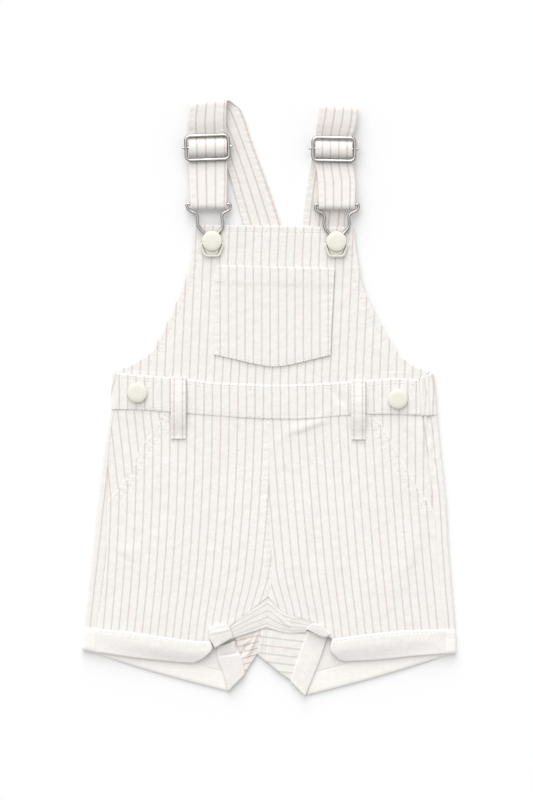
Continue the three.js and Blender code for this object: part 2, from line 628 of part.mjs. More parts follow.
// Enamelled plate inside each hook's lower loop, rounded out under the button.
function hookPlates() {
  for (const { name, x, y } of BUTTONS.slice(0, 2)) {
    const outline = new THREE.Shape();
    outline.moveTo(-6.1, -3.4);
    outline.lineTo(-3, -8.9);
    outline.quadraticCurveTo(0, -9.7, 3, -8.9);
    outline.lineTo(6.1, -3.4);
    outline.quadraticCurveTo(0, -5.4, -6.1, -3.4);
    const plate = new THREE.ExtrudeGeometry(outline, {
      depth: PLATE_THICKNESS, bevelEnabled: false, curveSegments: 6,
    });
    const mesh = add("hook_plate_" + name.split("_").at(-1), plate, enamel);
    mesh.position.set(x, y, HOOK_HEIGHT - PLATE_THICKNESS / 2);
  }
}

// Shank buttons: a foot on the cloth, a neck and a slightly domed cap.
function buttons() {
  for (const { name, x, y } of BUTTONS) {
    const onBib = name.startsWith("bib");
    const cloth = onBib ? CLOTH / 2 : BAND_CLOTH - CLOTH / 2;
    const foot = frontHeight(x, y) + cloth + SEAM_GAP;
    const neck = onBib ? HOOK_HEIGHT + BAR_THICKNESS / 2 + SEAM_GAP - foot : 0.9;
    const radius = BUTTON_SIZE / 2 - 0.1;
    const profile = [
      [0, 0], [3, 0], [2.1, 0.5], [2.1, neck], [radius - 0.2, neck], [radius, neck + 1.1],
      [radius - 0.6, neck + 1.7], [0, neck + CAP_THICKNESS],
    ];
    const shape = new THREE.LatheGeometry(profile.map(([r, z]) => new THREE.Vector2(r, z)), 16);
    shape.rotateX(Math.PI / 2);
    const button = add(name, shape, enamel);
    button.position.set(x, y, foot);
  }
}

backLegs();
backCuffs();
backWaistband();
backBib();
frontLegs();
pocketFacings();
frontWaistband();
frontBib();
bibPocket();
beltLoops();
frontCuffs();
crotchFolds();
straps();
await sliders();
hooks();
hookPlates();
buttons();

export default garment;
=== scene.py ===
import bpy
import numpy as np
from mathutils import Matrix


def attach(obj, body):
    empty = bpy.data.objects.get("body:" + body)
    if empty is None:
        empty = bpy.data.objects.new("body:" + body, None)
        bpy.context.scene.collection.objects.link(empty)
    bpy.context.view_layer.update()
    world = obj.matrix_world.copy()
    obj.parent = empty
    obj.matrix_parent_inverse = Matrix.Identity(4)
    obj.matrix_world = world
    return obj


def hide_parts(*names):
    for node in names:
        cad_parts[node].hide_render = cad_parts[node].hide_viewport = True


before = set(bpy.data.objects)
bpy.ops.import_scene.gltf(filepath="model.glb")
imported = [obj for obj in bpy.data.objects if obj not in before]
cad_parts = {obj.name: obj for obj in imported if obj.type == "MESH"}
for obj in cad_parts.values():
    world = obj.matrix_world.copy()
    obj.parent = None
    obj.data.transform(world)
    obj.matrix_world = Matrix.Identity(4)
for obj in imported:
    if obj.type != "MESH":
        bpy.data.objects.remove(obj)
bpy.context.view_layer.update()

# The studio: a matt white surface, an even white surround, one wide soft light from above the straps
# and a little to the left, and a weaker low one that draws soft shadows out below the hems.
FLOOR_HALF = 3.0
FLOOR_LEVEL = -0.0001
MATT_WHITE = {"Base Color": (0.93, 0.93, 0.93, 1), "Roughness": 1.0, "Specular IOR Level": 0.0}
SURROUND = 0.62
LIGHTS = {
    "wide_soft_light": {"strength": 1.85, "spread": 1.1, "turn": (-0.85, -0.35, 0)},
    "low_soft_light": {"strength": 1.0, "spread": 0.5, "turn": (-1.28, -0.1, 0)},
}
SENSOR_WIDTH = 24
CAMERA_HEIGHT = 2.4
VIEW_HEIGHT = 0.6
VIEW_CENTRE = (-0.0019, -0.001)

scene = bpy.context.scene
scene.view_settings.view_transform = "Standard"

floor_mesh = bpy.data.meshes.new("pale_surface")
signs = ((-1, -1), (1, -1), (1, 1), (-1, 1))
corners = [(x * FLOOR_HALF, y * FLOOR_HALF, FLOOR_LEVEL) for x, y in signs]
floor_mesh.from_pydata(corners, [], [(0, 1, 2, 3)])
floor = bpy.data.objects.new("pale_surface", floor_mesh)
scene.collection.objects.link(floor)
floor_look = bpy.data.materials.new("matt_white")
floor_look.use_nodes = True
for socket, value in MATT_WHITE.items():
    floor_look.node_tree.nodes["Principled BSDF"].inputs[socket].default_value = value
floor_mesh.materials.append(floor_look)

world = bpy.data.worlds.new("white_surround")
world.use_nodes = True
world.node_tree.nodes["Background"].inputs["Color"].default_value = (1, 1, 1, 1)
world.node_tree.nodes["Background"].inputs["Strength"].default_value = SURROUND
scene.world = world

for name, settings in LIGHTS.items():
    light = bpy.data.lights.new(name, "SUN")
    light.energy = settings["strength"]
    light.angle = settings["spread"]
    light_object = bpy.data.objects.new(name, light)
    light_object.rotation_euler = settings["turn"]
    scene.collection.objects.link(light_object)

camera = bpy.data.cameras.new("camera")
camera.sensor_width = SENSOR_WIDTH
camera.lens = camera.sensor_width * CAMERA_HEIGHT / VIEW_HEIGHT
camera_object = bpy.data.objects.new("camera", camera)
camera_object.location = (*VIEW_CENTRE, CAMERA_HEIGHT)
scene.collection.objects.link(camera_object)
scene.camera = camera_object


# The back legs: two panels of striped cotton twill that lie flat on the surface, with the plain reverse
# of the twill inside. Each is wider than the front, and wraps over its side onto the front, where it is
# sewn to the front panel. As in life, every panel tucks a little under the one it is sewn to.
MILLIMETRE = 0.001
TINY = 1e-9
CURVE_STEPS = 24
RUMPLE_CORNERS = 128
EDGE_STEPS = np.array([0, 0.08, 0.3, 0.62])
MOST_BORDER = 0.2


def travelled(points):
    """How far along its line, or along its row of a grid, each point lies: the sum of the steps to it."""
    steps = np.linalg.norm(np.diff(points, axis=-2), axis=-1)
    return np.concatenate([np.zeros((*steps.shape[:-1], 1)), np.cumsum(steps, axis=-1)], axis=-1)


def points_at(line, places):
    """Points of a line at places given as distances along it, blended between its own points."""
    length = travelled(line)
    return np.stack([np.interp(places, length, column) for column in line.T], -1)


def unit(vectors, guard=0.0):
    """Vectors divided by their own length, to which a guard is added where that may be 0."""
    return vectors / (np.linalg.norm(vectors, axis=-1, keepdims=True) + guard)


def smooth_line(points, shares):
    """Points at shares of the length of a curve through [x, y] or [x, y, z] points.

    Between two points it is the cubic whose slopes are the centripetal Catmull-Rom ones: the parameter
    grows with the square root of the distance, and past its ends the line goes on straight."""
    points = np.asarray(points, float)
    padded = np.vstack([2 * points[0] - points[1], points, 2 * points[-1] - points[-2]])
    step = np.sqrt(np.linalg.norm(np.diff(padded, axis=0), axis=1))[:, None] + TINY
    a, b, c, d = padded[:-3], padded[1:-2], padded[2:-1], padded[3:]
    before, here, after = step[:-2], step[1:-1], step[2:]
    slope_b = here * ((b - a) / before - (c - a) / (before + here) + (c - b) / here)
    slope_c = here * ((c - b) / here - (d - b) / (here + after) + (d - c) / after)
    t = np.linspace(0, 1, CURVE_STEPS, endpoint=False)[:, None, None]
    curve = ((2 * t**3 - 3 * t**2 + 1) * b + (t**3 - 2 * t**2 + t) * slope_b
             + (3 * t**2 - 2 * t**3) * c + (t**3 - t**2) * slope_c)
    curve = np.vstack([curve.transpose(1, 0, 2).reshape(-1, points.shape[1]), points[-1:]])
    return points_at(curve, np.asarray(shares) * travelled(curve)[-1])


def smoothstep(value, low, high):
    """0 below low, 1 above high, and 3s^2 - 2s^3 of the share s between them."""
    share = np.clip((value - low) / (high - low), 0, 1)
    return share * share * (3 - 2 * share)


def rumple(x, y, size, seed):
    """Smooth random heights between -1 and 1: random numbers at the corners of squares of that size,
    blended across each square with the smooth step."""
    heights = np.random.default_rng(seed).uniform(-1, 1, (RUMPLE_CORNERS, RUMPLE_CORNERS))
    across, down = x / size + RUMPLE_CORNERS / 2, y / size + RUMPLE_CORNERS / 2
    i, j = (np.floor(place).astype(int) % (RUMPLE_CORNERS - 1) for place in (across, down))
    s, t = smoothstep(across % 1, 0, 1), smoothstep(down % 1, 0, 1)
    near = heights[i, j] * (1 - s) + heights[i + 1, j] * s
    far = heights[i, j + 1] * (1 - s) + heights[i + 1, j + 1] * s
    return near * (1 - t) + far * t


def border_shares(length, spacing, border):
    """Shares of a length in even steps, with closer ones within border of both ends for a round edge."""
    edge = min(border / length, MOST_BORDER)
    near = edge * EDGE_STEPS
    even = np.linspace(edge, 1 - edge, max(4, int(length / spacing)))
    return np.concatenate([near, even, 1 - near[::-1]])


def roundness(shares, length, border):
    """Share of the full thickness near both ends: the quarter circle sqrt(1 - (1 - d / border)^2)."""
    depth = np.clip(np.minimum(shares, 1 - shares) * length / min(border, MOST_BORDER * length), 0, 1)
    return np.sqrt(1 - (1 - depth) ** 2)


def mesh_piece(name, points, quads, looks, cloth=None):
    """A smooth mesh of four-cornered faces from points in millimetres, with its cloth coordinates,
    one pair for each point, in the map named cloth."""
    mesh = bpy.data.meshes.new(name)
    mesh.vertices.add(len(points))
    mesh.vertices.foreach_set("co", (np.asarray(points) * MILLIMETRE).ravel())
    mesh.loops.add(quads.size)
    mesh.loops.foreach_set("vertex_index", quads.ravel())
    mesh.polygons.add(len(quads))
    mesh.polygons.foreach_set("loop_start", np.arange(0, quads.size, 4))
    mesh.polygons.foreach_set("use_smooth", np.ones(len(quads), bool))
    mesh.update(calc_edges=True)
    if cloth is not None:
        mesh.uv_layers.new(name="cloth").data.foreach_set("uv", np.asarray(cloth)[quads.ravel()].ravel())
    for look in looks:
        mesh.materials.append(look)
    mesh.validate()
    piece = bpy.data.objects.new(name, mesh)
    scene.collection.objects.link(piece)
    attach(piece, "root")
    return piece


def closed_sheet(name, middle, half, cloth, looks):
    """Wall about a grid of middle points: each point goes half the thickness out along the unit normal, the
    cross product of the grid's two slopes, and back along it for the under side. The grid's border, where
    the half thickness is 0, belongs to both sides, so the wall is closed and its edge round. The first
    look is on the outer side and the last on the other."""
    down, across = np.gradient(middle, axis=(0, 1))
    offset = unit(np.cross(down, across), TINY) * half[..., None]
    rows, columns = half.shape
    top = np.arange(rows * columns).reshape(rows, columns)
    under = top.copy()
    under[1:-1, 1:-1] = rows * columns + np.arange((rows - 2) * (columns - 2)).reshape(rows - 2, -1)
    points = np.vstack([(middle + offset).reshape(-1, 3), (middle - offset)[1:-1, 1:-1].reshape(-1, 3)])
    maps = np.vstack([cloth.reshape(-1, 2), cloth[1:-1, 1:-1].reshape(-1, 2)])
    faces = [np.stack([side[:-1, :-1], side[1:, :-1], side[1:, 1:], side[:-1, 1:]], -1).reshape(-1, 4)
             for side in (top, under)]
    quads = np.vstack([faces[0], faces[1][:, ::-1]])
    piece = mesh_piece(name, points, quads, looks, maps)
    sides = np.repeat([0, len(looks) - 1], len(faces[0])).astype(np.int32)
    piece.data.polygons.foreach_set("material_index", sides)
    return piece


def declare_cloth(node, middle):
    """Hides the part of model.glb that a piece stands for. The grid's cells are worked out from its middle
    points, and nothing uses them. A cut can't be stated as filling less than 0.3 of its width by its
    length, so the back bib, which fills a little less, is stated at LEAST_FILL."""
    cells = np.cross(middle[1:, 1:] - middle[:-1, :-1], middle[1:, :-1] - middle[:-1, 1:])
    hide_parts(node)


class Socket:
    """One output of a material's node. Arithmetic on it adds Math nodes, and make adds any other node."""

    def __init__(self, tree, link=None):
        self.tree = tree
        self.link = link

    def make(self, kind, settings=(), inputs=(), output=0):
        """Adds a node of a type, applies its settings, then the values or links of its sockets."""
        node = self.tree.nodes.new("ShaderNode" + kind)
        for name, setting in dict(settings).items():
            setattr(node, name, setting)
        for name, given in dict(inputs).items():
            if isinstance(given, Socket):
                self.tree.links.new(given.link, node.inputs[name])
            else:
                node.inputs[name].default_value = given
        return Socket(self.tree, node.outputs[output] if len(node.outputs) else None)

    def maths(self, operation, *others):
        return self.make("Math", {"operation": operation}, dict(enumerate((self, *others))))

    def __add__(self, other):
        return self.maths("ADD", other)

    def __sub__(self, other):
        return self.maths("SUBTRACT", other)

    def __rsub__(self, other):
        return self.make("Math", {"operation": "SUBTRACT"}, {0: other, 1: self})

    def __mul__(self, other):
        return self.maths("MULTIPLY", other)

    def __truediv__(self, other):
        return self.maths("DIVIDE", other)

    __radd__ = __add__
    __rmul__ = __mul__


def new_look(name):
    """An empty material and a socket that makes its nodes."""
    look = bpy.data.materials.new(name)
    look.use_nodes = True
    look.node_tree.nodes.clear()
    return look, Socket(look.node_tree)


def mix(share, first, second):
    """A colour between two: the first where the share is 0, the second where it is 1."""
    return share.make("Mix", {"data_type": "RGBA"}, {0: share, 6: first, 7: second}, output=2)


def clouds(place, scale, detail, roughness=0.5):
    """Cloudy noise between 0 and 1: scale clouds to a unit of the place, with finer ones in them."""
    return place.make("TexNoise", inputs={
        "Vector": place, "Scale": scale, "Detail": detail, "Roughness": roughness})


def ramp(value, low, high, ends=(0.0, 1.0), kind="SMOOTHSTEP"):
    """The first end below low, the second above high, and a smooth or straight change between them."""
    return value.make("MapRange", {"interpolation_type": kind}, {
        "Value": value, "From Min": low, "From Max": high, "To Min": ends[0], "To Max": ends[1]})


def bump(height, strength, distance, under=()):
    """The normal of a surface with that relief, distance metres high, on a bump that lies under it."""
    return height.make("Bump", inputs={
        "Height": height, "Strength": strength, "Distance": distance, **dict(under)})


def finish_look(start, finish):
    """Ends a material in one shader with the given finish."""
    start.make("OutputMaterial", inputs={"Surface": start.make("BsdfPrincipled", inputs=finish)})


def linear(red, green, blue):
    """A display colour from 0 to 255 as linear light: ((c + 0.055) / 1.055)^2.4."""
    share = (np.array([red, green, blue]) / 255 + 0.055) / 1.055
    return (*(share**2.4), 1.0)


STRIPE_PITCH = 6.13
STRIPE_WIDTH = 1.15
TWILL_PITCH = 0.85
FULL_TURN = 6.283
CLOTH_ROUGHNESS = 0.6


def twill_look(name, ground, pink, grey, depth):
    """Cotton twill in cloth coordinates u across and v along its stripes, in millimetres. A stripe lies
    where u / pitch is near a whole number, its yarns show as breaks along v, and the stripes are pink and
    grey in turn, some nearer to each other in hue by chance.
    The weave is a fine ridge along u + v, with yarn fuzz and soft crumples, as bumps."""
    look, start = new_look(name)
    place = start.make("UVMap", {"uv_map": "cloth"})
    u = start.make("SeparateXYZ", inputs={0: place})
    v = Socket(u.tree, u.link.node.outputs[1])

    def fuzz(scale, detail):
        return clouds(place, scale, detail, CLOTH_ROUGHNESS)

    wander = (fuzz(0.11, 1.0) - 0.5) * 0.5 + (fuzz(1.6, 1.0) - 0.5) * 0.25
    number = (u + wander) / STRIPE_PITCH
    nearest = number.maths("ROUND")
    away = (number - nearest).maths("ABSOLUTE") * STRIPE_PITCH
    line = ramp(away, STRIPE_WIDTH * 0.28, STRIPE_WIDTH * 0.68, (1.0, 0.0))
    yarns = ((v + u * 0.5) * (FULL_TURN / TWILL_PITCH)).maths("SINE") * 0.16 + 0.84
    patches = (fuzz(0.35, 2.0) - 0.5) * 0.5 + 0.95
    chance = start.make("TexWhiteNoise", {"noise_dimensions": "1D"}, {"W": nearest})
    stripe = mix(nearest.maths("FLOORED_MODULO", 2.0) * 0.6 + 0.4 * chance, pink, grey)
    warmer = tuple(channel * share for channel, share in zip(ground, (0.992, 0.98, 0.966, 1)))
    cloth = mix(ramp(fuzz(0.05, 3.0), 0.3, 0.7, kind="LINEAR"), ground, warmer)
    ridge = ((u * 0.8 + v) * (FULL_TURN / TWILL_PITCH)).maths("SINE") * 0.5 + fuzz(2.6, 3.0) * 1.4
    weave = bump(ridge, 0.32, 0.00012)
    finish_look(start, {
        "Base Color": mix(line * yarns * patches * depth, cloth, stripe), "Roughness": 0.93,
        "Specular IOR Level": 0.25, "Sheen Weight": 0.12, "Sheen Roughness": 0.6,
        "Normal": bump(fuzz(0.13, 4.0), 0.5, 0.0011, {"Normal": weave})})
    return look


striped_twill = twill_look(
    "striped_twill", linear(240, 237.5, 234), linear(211, 193, 191), linear(203, 199, 192), 0.84)

BACK_CLOTH = 1.2
SEAM_HEIGHT = 2.5
TUCK = 0.6
FLAT_RUN = 110
TURN_STEPS = 10
BACK_LEGS = {
    "back_leg_left": [
        {"inner": [0.8, -12], "outline": [-118.8, -7.4], "seam": [-116.5, -7.4]},
        {"inner": [0.8, -40], "outline": [-123.6, -37], "seam": [-120.4, -37]},
        {"inner": [0.8, -75], "outline": [-128.2, -75.2], "seam": [-121.4, -75]},
        {"inner": [0.8, -110], "outline": [-132.3, -113], "seam": [-121.6, -112]},
        {"inner": [-0.4, -146], "outline": [-136.3, -148], "seam": [-125.6, -148]},
        {"inner": [-3.5, -184], "outline": [-137.6, -160], "seam": [-127.3, -160]},
        {"inner": [-31.6, -205.6], "outline": [-138.9, -172.6], "seam": [-128.7, -173.2]},
    ],
    "back_leg_right": [
        {"inner": [1.2, -12], "outline": [126, -12], "seam": [114.2, -12]},
        {"inner": [1.2, -40], "outline": [129, -41.5], "seam": [118.7, -41.5]},
        {"inner": [1.2, -75], "outline": [132.6, -76], "seam": [122.9, -76]},
        {"inner": [1.2, -110], "outline": [134.7, -112], "seam": [125.9, -112]},
        {"inner": [2, -146], "outline": [137.5, -148], "seam": [128.9, -148]},
        {"inner": [-2.4, -186], "outline": [138.6, -160], "seam": [130.4, -160]},
        {"inner": [24.6, -207.6], "outline": [139.6, -174], "seam": [132.1, -174.3]},
    ],
}


def wrapped_sheet(name, table, thickness, high, looks, bow, relief, fade=6, spacing=1.6, border=0.6,
                  swell=0.0):
    """A back piece from rows of inner end, outline and front seam. Each row of the grid runs flat from the
    inner end to the outline, round a half circle, and in to the seam; bow * sin(pi * share) * v^fade lowers
    its middle, relief(x, y) raises the part that lies on the front, and the flat part swells at its end."""
    length = abs(table[0]["inner"][1] - table[-1]["inner"][1])
    v = border_shares(length, spacing, border)
    keys = ("inner", "outline", "seam")
    inner, outline, seam = (smooth_line([row[key] for row in table], v) for key in keys)
    side = np.sign(outline[0, 0])
    low = thickness / 2
    radius = (high - low) / 2
    centre = outline[:, :1] - side * (radius + thickness / 2)
    seam = seam - [side * TUCK, 0]
    flat = np.linspace(0, 1, int(FLAT_RUN / spacing), endpoint=False)
    turn = np.linspace(0, np.pi, TURN_STEPS)
    back = np.linspace(0, 1, TURN_STEPS)[1:]
    fan = [inner[:, :1] + (centre - inner[:, :1]) * flat, centre + side * radius * np.sin(turn),
           centre + (seam[:, :1] - centre) * back]
    fall = bow * np.sin(np.pi * flat) * v[:, None] ** fade
    rise = [inner[:, 1:] + (outline[:, 1:] - inner[:, 1:]) * flat - fall,
            outline[:, 1:] + 0 * turn, outline[:, 1:] + (seam[:, 1:] - outline[:, 1:]) * back]
    front = high + relief(fan[2], rise[2]) * smoothstep(back, 0, 0.4)
    growth = swell * smoothstep(v, 0.78, 0.94)[:, None] * smoothstep(1 - flat, 0, 0.15)
    lift = [low * (1 + growth), low + radius * (1 - np.cos(turn)) + 0 * fan[1], front]
    middle = np.stack([np.hstack(fan), np.hstack(rise), np.hstack(lift)], -1)
    unrolled = travelled(middle)
    unrolled -= unrolled[:, len(flat):len(flat) + 1]
    ends = np.ones(middle.shape[1])
    ends[[0, -1]] = 0
    ends[[1, -2]] = 0.75
    half = thickness / 2 * roundness(v, length, border)[:, None] * ends
    half[:, :len(flat)] *= 1 + growth
    cloth = np.stack([unrolled * side, middle[..., 1]], -1)
    if side > 0:
        middle, half, cloth = middle[:, ::-1], half[:, ::-1], cloth[:, ::-1]
    piece = closed_sheet(name, middle, half, cloth, looks)
    declare_cloth(name, middle)
    return piece


def side_gathers(x, y):
    """Folds down the wrapped sides, from the elastic of the back waistband: a wavering sine across the strip
    with short puckers in it. They are highest by the waist, fade at mid leg, and sink on the right."""
    fade = smoothstep(y, -105, -25) * (0.3 + 0.7 * (x > 0))
    waves = 0.4 * np.sin(1.25 * x + 0.5 + 0.9 * np.sin(y / 9)) + 0.3 * rumple(x * 1.5, y, 3.4, 3)
    return fade * (waves - 0.85 * (x > 0))


plain_reverse = twill_look(
    "twill_reverse", linear(241, 238, 235), linear(236, 230, 228), linear(234, 231, 228), 0.25)
for name, table in BACK_LEGS.items():
    wrapped_sheet(name, table, BACK_CLOTH, SEAM_HEIGHT, [striped_twill, plain_reverse],
                  1.4, side_gathers, swell=0.62)

# The back hems: the legs' ends are turned up outwards, so they show the plain off-white reverse of the
# twill. From above, their inner face shows below the front hems.
BACK_CUFF_CLOTH = 1.9
BACK_CUFFS = {
    "back_cuff_left": [
        {"inner": [-33, -203.6], "outline": [-138.9, -171.6], "seam": [-129, -172.2]},
        {"inner": [-31.2, -211.6], "outline": [-139.8, -180], "seam": [-129.2, -181]},
        {"inner": [-30.5, -219.5], "outline": [-140.6, -188.3], "seam": [-129.4, -190]},
    ],
    "back_cuff_right": [
        {"inner": [32.2, -204.4], "outline": [139.6, -172.6], "seam": [132.3, -173]},
        {"inner": [29.6, -214.2], "outline": [140.2, -181.6], "seam": [132.5, -182]},
        {"inner": [27.4, -222.6], "outline": [140.6, -190.6], "seam": [132.8, -191.2]},
    ],
}


def gentle(x, y):
    """Slight unevenness of a pressed hem."""
    return 0.12 * rumple(x, y, 7, 8)


# The back hems get a lighter copy of the plain reverse, brightened to make up for the shade the front hems
# cast on them: painted light.
painted_light_cuff_twill = twill_look(
    "back_cuff_painted_light_twill", linear(247, 244, 240.5), linear(240, 233, 230), linear(238, 234, 230), 0.25)
for name, table in BACK_CUFFS.items():
    wrapped_sheet(name, table, BACK_CUFF_CLOTH, SEAM_HEIGHT + 0.75, [painted_light_cuff_twill], 1.4,
                  gentle, fade=0, spacing=1.2, border=2.6)

# The back waistband: a folded strip with elastic in it, let go in small gathers. It lies flat below
# and comes over both sides; its gathers show on the right, beside the end of the front waistband.
BAND_CLOTH = 1.8
CLOTH = 1.1
back_band = {
    "left": [[-117.6, 19.6], [-118.2, 6], [-118.8, -8.4]],
    "left seam": [[-115.2, 19.6], [-115.8, 6], [-116.4, -8.4]],
    "right": [[123.6, 19.2], [125, 5], [126.2, -12.8]],
    "right seam": [[113.4, 15.2], [114.4, 5], [113.9, -12.8]],
}
BAND_DEPTH = 30
BAND_SPACING = 1.2
BAND_BORDER = 0.7
BAND_TUCK = 1.5
GATHER_RISE = 0.65
GATHER_SINK = 0.7
band_thickness = 1.6
band_low = band_thickness / 2
band_high = SEAM_HEIGHT + (BAND_CLOTH - CLOTH) / 2
band_radius = (band_high - band_low) / 2
v = border_shares(BAND_DEPTH, BAND_SPACING, BAND_BORDER)
lines = {key: smooth_line(points, v) for key, points in back_band.items()}


def band_side(side, sign, steps):
    """One end of the band, from left to right: the half circle round the side, and the part that lies on the
    front by shares from the outline to the seam. On the right it rises in sine gathers and sinks inwards."""
    outline, seam = lines[side], lines[side + " seam"] - [sign * BAND_TUCK, 0]
    centre = outline[:, :1] - sign * (band_radius + band_thickness / 2)
    bend = np.linspace(0, np.pi, 9)[::sign]
    curl = np.stack([centre + sign * band_radius * np.sin(bend), outline[:, 1:] + 0 * bend,
                     band_low + band_radius * (1 - np.cos(bend)) + 0 * centre], -1)
    x = centre + (seam[:, :1] - centre) * steps
    y = outline[:, 1:] + (seam[:, 1:] - outline[:, 1:]) * steps
    gathers = GATHER_RISE * np.sin(x * 1.6 + 0.5 * np.sin(y / 5)) * smoothstep(steps, 0, 0.3)
    sink = GATHER_SINK * smoothstep(steps, 0.6, 1)
    wrap = np.stack([x, y, band_high + (gathers - sink) * (sign > 0)], -1)
    return np.hstack([curl, wrap][::sign])


left = band_side("left", -1, np.linspace(1, 0, 8)[:-1])
right = band_side("right", 1, np.linspace(0, 1, 16)[1:])
share = np.linspace(0, 1, 90)[1:-1, None]
flat = left[:, -1:] + (right[:, :1] - left[:, -1:]) * share
middle = np.hstack([left, flat, right])[:, ::-1]
ends = np.ones(middle.shape[1])
ends[[0, -1]] = 0
half = band_low * roundness(v, BAND_DEPTH, BAND_BORDER)[:, None] * ends
cloth = np.stack([travelled(middle), middle[..., 1]], -1)
piece = closed_sheet("back_waistband", middle, half, cloth, [striped_twill])
declare_cloth("back_waistband", middle)


# The back bib: one layer of the same cloth, flat on the surface, that rises from the back waistband to
# the width of both straps. The front lies over it, and hides most of it.
def panel_grid(left, right, top, bottom, u, v):
    """Coons patch between four edges: the left and right edges blended by u, plus the top and bottom edges
    blended by v, less the blend of the four corners."""
    left_line, right_line = (smooth_line(edge, v)[:, None] for edge in (left, right))
    top_line = smooth_line([left[0], *top, right[0]], u)[None]
    bottom_line = smooth_line([left[-1], *bottom, right[-1]], u)[None]
    a, b, c, d = (np.asarray(corner, float) for corner in (left[0], right[0], left[-1], right[-1]))
    u, v = u[None, :, None], v[:, None, None]
    corners = (1 - v) * ((1 - u) * a + u * b) + v * ((1 - u) * c + u * d)
    return (1 - u) * left_line + u * right_line + (1 - v) * top_line + v * bottom_line - corners


def straight_stripes(first=0.0, lean=0.0, row=0.0, stretch=1.0):
    """Cloth coordinates with straight stripes: one is at x = first where y = row, they move by lean for each
    millimetre up, and lie stretch times their woven pitch apart."""
    def place(x, y, u, v):
        return (x - first - lean * (y - row)) / stretch, y
    return place


def panel_piece(name, left, right, height, top=(), bottom=(), thickness=CLOTH, spacing=1.4, border=0.55,
                stripes=straight_stripes(), slot="striped_twill", looks=(striped_twill, plain_reverse),
                rests_on=("back_bib",)):
    """A flat-cut piece between four edges, with its middle at height(x, y, u, v)."""
    width = max(np.linalg.norm(np.subtract(right[k], left[k])) for k in (0, -1))
    length = np.linalg.norm(np.diff(left, axis=0), axis=1).sum()
    u, v = border_shares(width, spacing, border), border_shares(length, spacing, border)
    flat = panel_grid(left, right, top, bottom, u, v)
    x, y = flat[..., 0], flat[..., 1]
    across, down = np.meshgrid(u, v)
    middle = np.stack([x, y, height(x, y, across, down) + 0 * x], -1)
    half = thickness / 2 * roundness(v, length, border)[:, None] * roundness(u, width, border)
    cloth = np.stack(stripes(x, y, across, down), -1)
    piece = closed_sheet(name, middle, half, cloth, looks)
    declare_cloth(name, middle)
    return piece


panel_piece("back_bib", [[-9, 94.9], [-24, 74], [-50, 44], [-84, 26], [-112, 20.2]],
            [[52, 94.9], [62, 74], [80, 46], [96, 28], [118, 20]],
            lambda x, y, u, v: BACK_CLOTH / 2, thickness=BACK_CLOTH, spacing=3,
            looks=(plain_reverse, striped_twill), rests_on=["pale_surface"])

# The front legs: two striped panels, sewn together down the middle and to the back at the sides, with the
# slanted pocket openings cut out of their upper corners. They lie softly lofted over the back.
BIB_LOFT = 0.3
WAIST_LOFT = 0.7
CROTCH_LOFT = 2.4
WAIST = 20
BIB_SIDE = {"heights": [WAIST, 130], "half widths": [100, 60]}
LEG_SIDE = {"heights": [-190, WAIST], "half widths": [141, 118]}
CREASES = [
    {"from": [14, -26.4], "to": [44.2, -16.2], "rise": 0.9, "spread": 5},
    {"from": [97.5, -19], "to": [112.5, -29.2], "rise": 0.7, "spread": 5},
    {"from": [-114.8, -12.4], "to": [-99.8, -18.4], "rise": 0.5, "spread": 4},
    {"from": [-128, -103], "to": [-119, -106.6], "rise": 0.8, "spread": 3},
    {"from": [-118, -110.5], "to": [-99, -120.5], "rise": 0.8, "spread": 8},
    {"from": [119, -101.4], "to": [133, -104.6], "rise": 0.8, "spread": 3},
    {"from": [102, -138], "to": [112, -101], "rise": 0.8, "spread": 8},
    {"from": [73, 52], "to": [68, 71], "rise": 0.4, "spread": 5},
    {"from": [94, 20], "to": [73, 52], "rise": 0.6, "spread": 6},
    {"from": [45, 7.5], "to": [57, -6], "rise": -0.5, "spread": 5},
    {"from": [-30, -60], "to": [-12, -135], "rise": 0.5, "spread": 12},
    {"from": [22, -138], "to": [34, -62], "rise": 0.5, "spread": 12},
    {"from": [-1.8, -140], "to": [-0.4, -16], "rise": 0.5, "spread": 2.4},
    {"from": [122.3, -82], "to": [113.2, -15], "rise": 3.2, "spread": 3.4},
    {"from": [132, -168], "to": [124, -90], "rise": 0.4, "spread": 3},
    {"from": [-117.4, -12], "to": [-122, -112], "rise": -0.5, "spread": 2.4},
    {"from": [-122, -112], "to": [-129, -168], "rise": -0.4, "spread": 2.4},
]


def folds(creases, x, y):
    """Soft ridges and troughs: each is a bell across the line between its two ends, three times as steep
    on its right side, and fades past them."""
    height = 0
    for crease in creases:
        (ax, ay), (bx, by) = crease["from"], crease["to"]
        length = np.hypot(bx - ax, by - ay)
        part = ((x - ax) * (bx - ax) + (y - ay) * (by - ay)) / length**2
        away = ((x - ax) * (by - ay) - (y - ay) * (bx - ax)) / length
        ends = smoothstep(np.minimum(part, 1 - part), -0.2, 0.3)
        spread = crease["spread"] * np.where(away > 0, 0.33, 1)
        height = height + crease["rise"] * ends * np.exp(-((away / spread) ** 2))
    return height


def front_height(x, y):
    """Middle of the front cloth: the side seams' height, plus a loft that grows by smooth steps inwards from
    the sides and down from the bib to the crotch, plus the large soft creases."""
    above, below = (np.interp(y, side["heights"], side["half widths"]) for side in (BIB_SIDE, LEG_SIDE))
    inside = np.where(y > WAIST, above, below) - np.abs(x)
    inward = smoothstep(inside, 2, np.where(y > WAIST, 32, 62))
    waist, crotch = smoothstep(-y, -110, -10), smoothstep(-y, 20, 150)
    loft = BIB_LOFT + waist * (WAIST_LOFT - BIB_LOFT) + crotch * (CROTCH_LOFT - WAIST_LOFT)
    return SEAM_HEIGHT + inward * loft + (0.25 + 0.75 * inward) * folds(CREASES, x, y)


